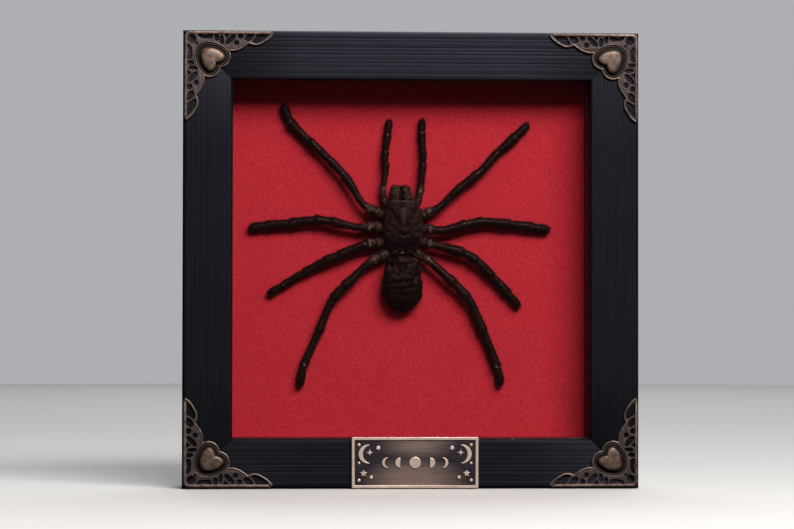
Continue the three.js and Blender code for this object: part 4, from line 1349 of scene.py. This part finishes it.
# %% Hair finish
hair, shader = finish("brown_hair", Roughness=0.65, Specular_IOR_Level=0.07, Specular_Tint=(1.0, 0.6, 0.55, 1))
shade, tip = painted(hair, "shade"), painted(hair, "tip")
rooted = blended(hair, shade, (0.0045, 0.0017, 0.0016), (0.013, 0.0049, 0.0042))
tipped = blended(hair, shade, (0.0065, 0.0025, 0.0023), (0.040, 0.0160, 0.0125))
link(hair, blended(hair, tip, rooted, tipped), shader.inputs["Base Color"])


# %% Coats of the limbs
def along_limb(name):
    line, heading, _ = limb_lines[name]
    return lambda points: heading[nearest(points, line)]


def limb_density(name):
    """Few hairs on the glossy thigh, many on the foot."""
    line, _, stations = limb_lines[name]
    return lambda points: 0.55 + 1.1 * (stations[nearest(points, line)] / stations[-1]) ** 1.5


LEG_HAIRS, PALP_HAIRS = 6500, 3500
coats = {}
for number, name in enumerate(limb_lines):
    count = LEG_HAIRS if name.startswith("leg") else PALP_HAIRS
    coats[name] = grow_hairs(skins[name], f"hairs_{name}", count, length=1.35, thickness=0.11, lean=58,
                             heading=along_limb(name), seed=100 + number, density=limb_density(name))


# %% Coats of the body
def backwards(points):
    x = points[:, 0] - SPIDER_MIDDLE[0]
    way = np.stack([0.06 * x, np.zeros(len(points)), -np.ones(len(points))], 1)
    return way / np.linalg.norm(way, axis=1)[:, None]


def forwards(points):
    return np.tile([0.0, 0.0, 1.0], (len(points), 1))


def from_pit(points):
    x, z, _ = on_spider(points)
    way = np.stack([x, np.zeros(len(x)), z - 8.6], 1)
    return way / np.maximum(np.linalg.norm(way, axis=1), 1e-6)[:, None]


def more_behind(points):
    _, z, _ = on_spider(points)
    return 0.3 + np.clip((-9 - z) / 6, 0, 1)


def more_at_rim(points):
    _, _, height = on_spider(points)
    return 0.25 + 2.5 * bell(height - 7.4, 0.8)


coats["abdomen"] = grow_hairs(abdomen, "hairs_abdomen", 6500, length=1.15, thickness=0.10, lean=68,
                              heading=backwards, seed=120, density=more_behind)
coats["carapace"] = grow_hairs(carapace, "hairs_carapace", 5000, length=0.8, thickness=0.09, lean=66,
                               heading=from_pit, seed=121, density=more_at_rim, long_share=0.01)
for number, name in enumerate(("chelicera_left", "chelicera_right")):
    coats[name] = grow_hairs(skins[name], f"hairs_{name}", 1000, length=0.9, thickness=0.08, lean=66,
                             heading=forwards, seed=122 + number)
for coat in coats.values():
    mount(coat, "spider_shell", finish=hair)
print("hairs:", sum(triangles(coat) for coat in coats.values()) // 4)

# %% [markdown]
# Where the shield meets the abdomen, the dried edge of its rear margin shows as two thin pale arcs that
# almost meet over the waist. A small brown knob sits below the gap. The arcs are wires, and the knob is a
# flattened ball.

# %% Rear margin and knob
membrane, shader = finish("pale_membrane", Roughness=0.6, Specular_IOR_Level=0.25)
fray = grain(membrane, place(membrane), 1100, 4, 0.7)
link(membrane, blended(membrane, spread(membrane, fray, 0.35, 0.6), (0.018, 0.008, 0.006),
                       (0.095, 0.052, 0.040)), shader.inputs["Base Color"])
left_arc = [(-5.6, -0.9), (-4.6, -0.1), (-3.4, 0.6), (-2.2, 1.1), (-1.0, 1.3), (-0.4, 1.25)]
right_arc = [(0.4, 1.25), (1.8, 1.2), (3.2, 0.6), (4.5, -0.3), (5.6, -1.3), (6.2, -2.0)]
MARGIN_Y, KNOB_Y = CLOTH_FRONT - 7.8, CLOTH_FRONT - 7.25
margin = [wire(f"margin_{name}", np.array(line) + SPIDER_MIDDLE, MARGIN_Y, 0.13, closed=False)
          for name, line in (("left", left_arc), ("right", right_arc))]
mount(joined(margin, "rear_margin"), "spider_shell", finish=membrane)

amber, shader = finish("amber_knob", Roughness=0.45, Specular_IOR_Level=0.3)
specks = grain(amber, place(amber), 1500, 3, 0.6)
link(amber, blended(amber, spread(amber, specks, 0.35, 0.6), (0.03, 0.011, 0.005), (0.24, 0.085, 0.025)),
     shader.inputs["Base Color"])
nothing_selected()
knob_at = Vector((SPIDER_MIDDLE[0] - 0.4, KNOB_Y, SPIDER_MIDDLE[1] - 0.1)) * MM
bpy.ops.mesh.primitive_uv_sphere_add(segments=20, ring_count=12, radius=0.75 * MM, location=knob_at)
knob = named(bpy.context.object, "waist_knob")
knob.scale = (1, 0.8, 0.7)
smooth(settle(knob), 60)
mount(knob, "spider_shell", finish=amber)

# %% [markdown]
# ## Eyes
#
# Eight small shiny eyes sit on the mound in two short rows. Each is a little ball, set on the skin where a
# line straight back from the front meets it.

# %% Eyes on the mound
black_eye, shader = finish("black_eye", Roughness=0.08, Coat_Weight=1.0)
gleam = grain(black_eye, place(black_eye), 2000)
link(black_eye, blended(black_eye, gleam, (0.003, 0.003, 0.004), (0.012, 0.009, 0.008)),
     shader.inputs["Base Color"])
EYE_PLACES = ((0.3, 21.75, 0.2), (0.85, 21.8, 0.2), (0.42, 21.2, 0.15), (0.85, 21.15, 0.2))  # x, z, radius
eyes = []
for x, z, radius in EYE_PLACES:
    for side in (-1, 1):
        spot = Vector((SPIDER_MIDDLE[0] + EYE_HILL_X + side * x, FRONT, SPIDER_MIDDLE[1] + z)) * MM
        _, where, _, _ = carapace.ray_cast(spot, Vector((0, 1, 0)))
        nothing_selected()
        bpy.ops.mesh.primitive_uv_sphere_add(segments=16, ring_count=10, radius=radius * MM, location=where)
        eyes.append(settle(bpy.context.object))
eye_row = joined(eyes, "eyes")
smooth(eye_row, 80)
mount(eye_row, "spider_shell", finish=black_eye)
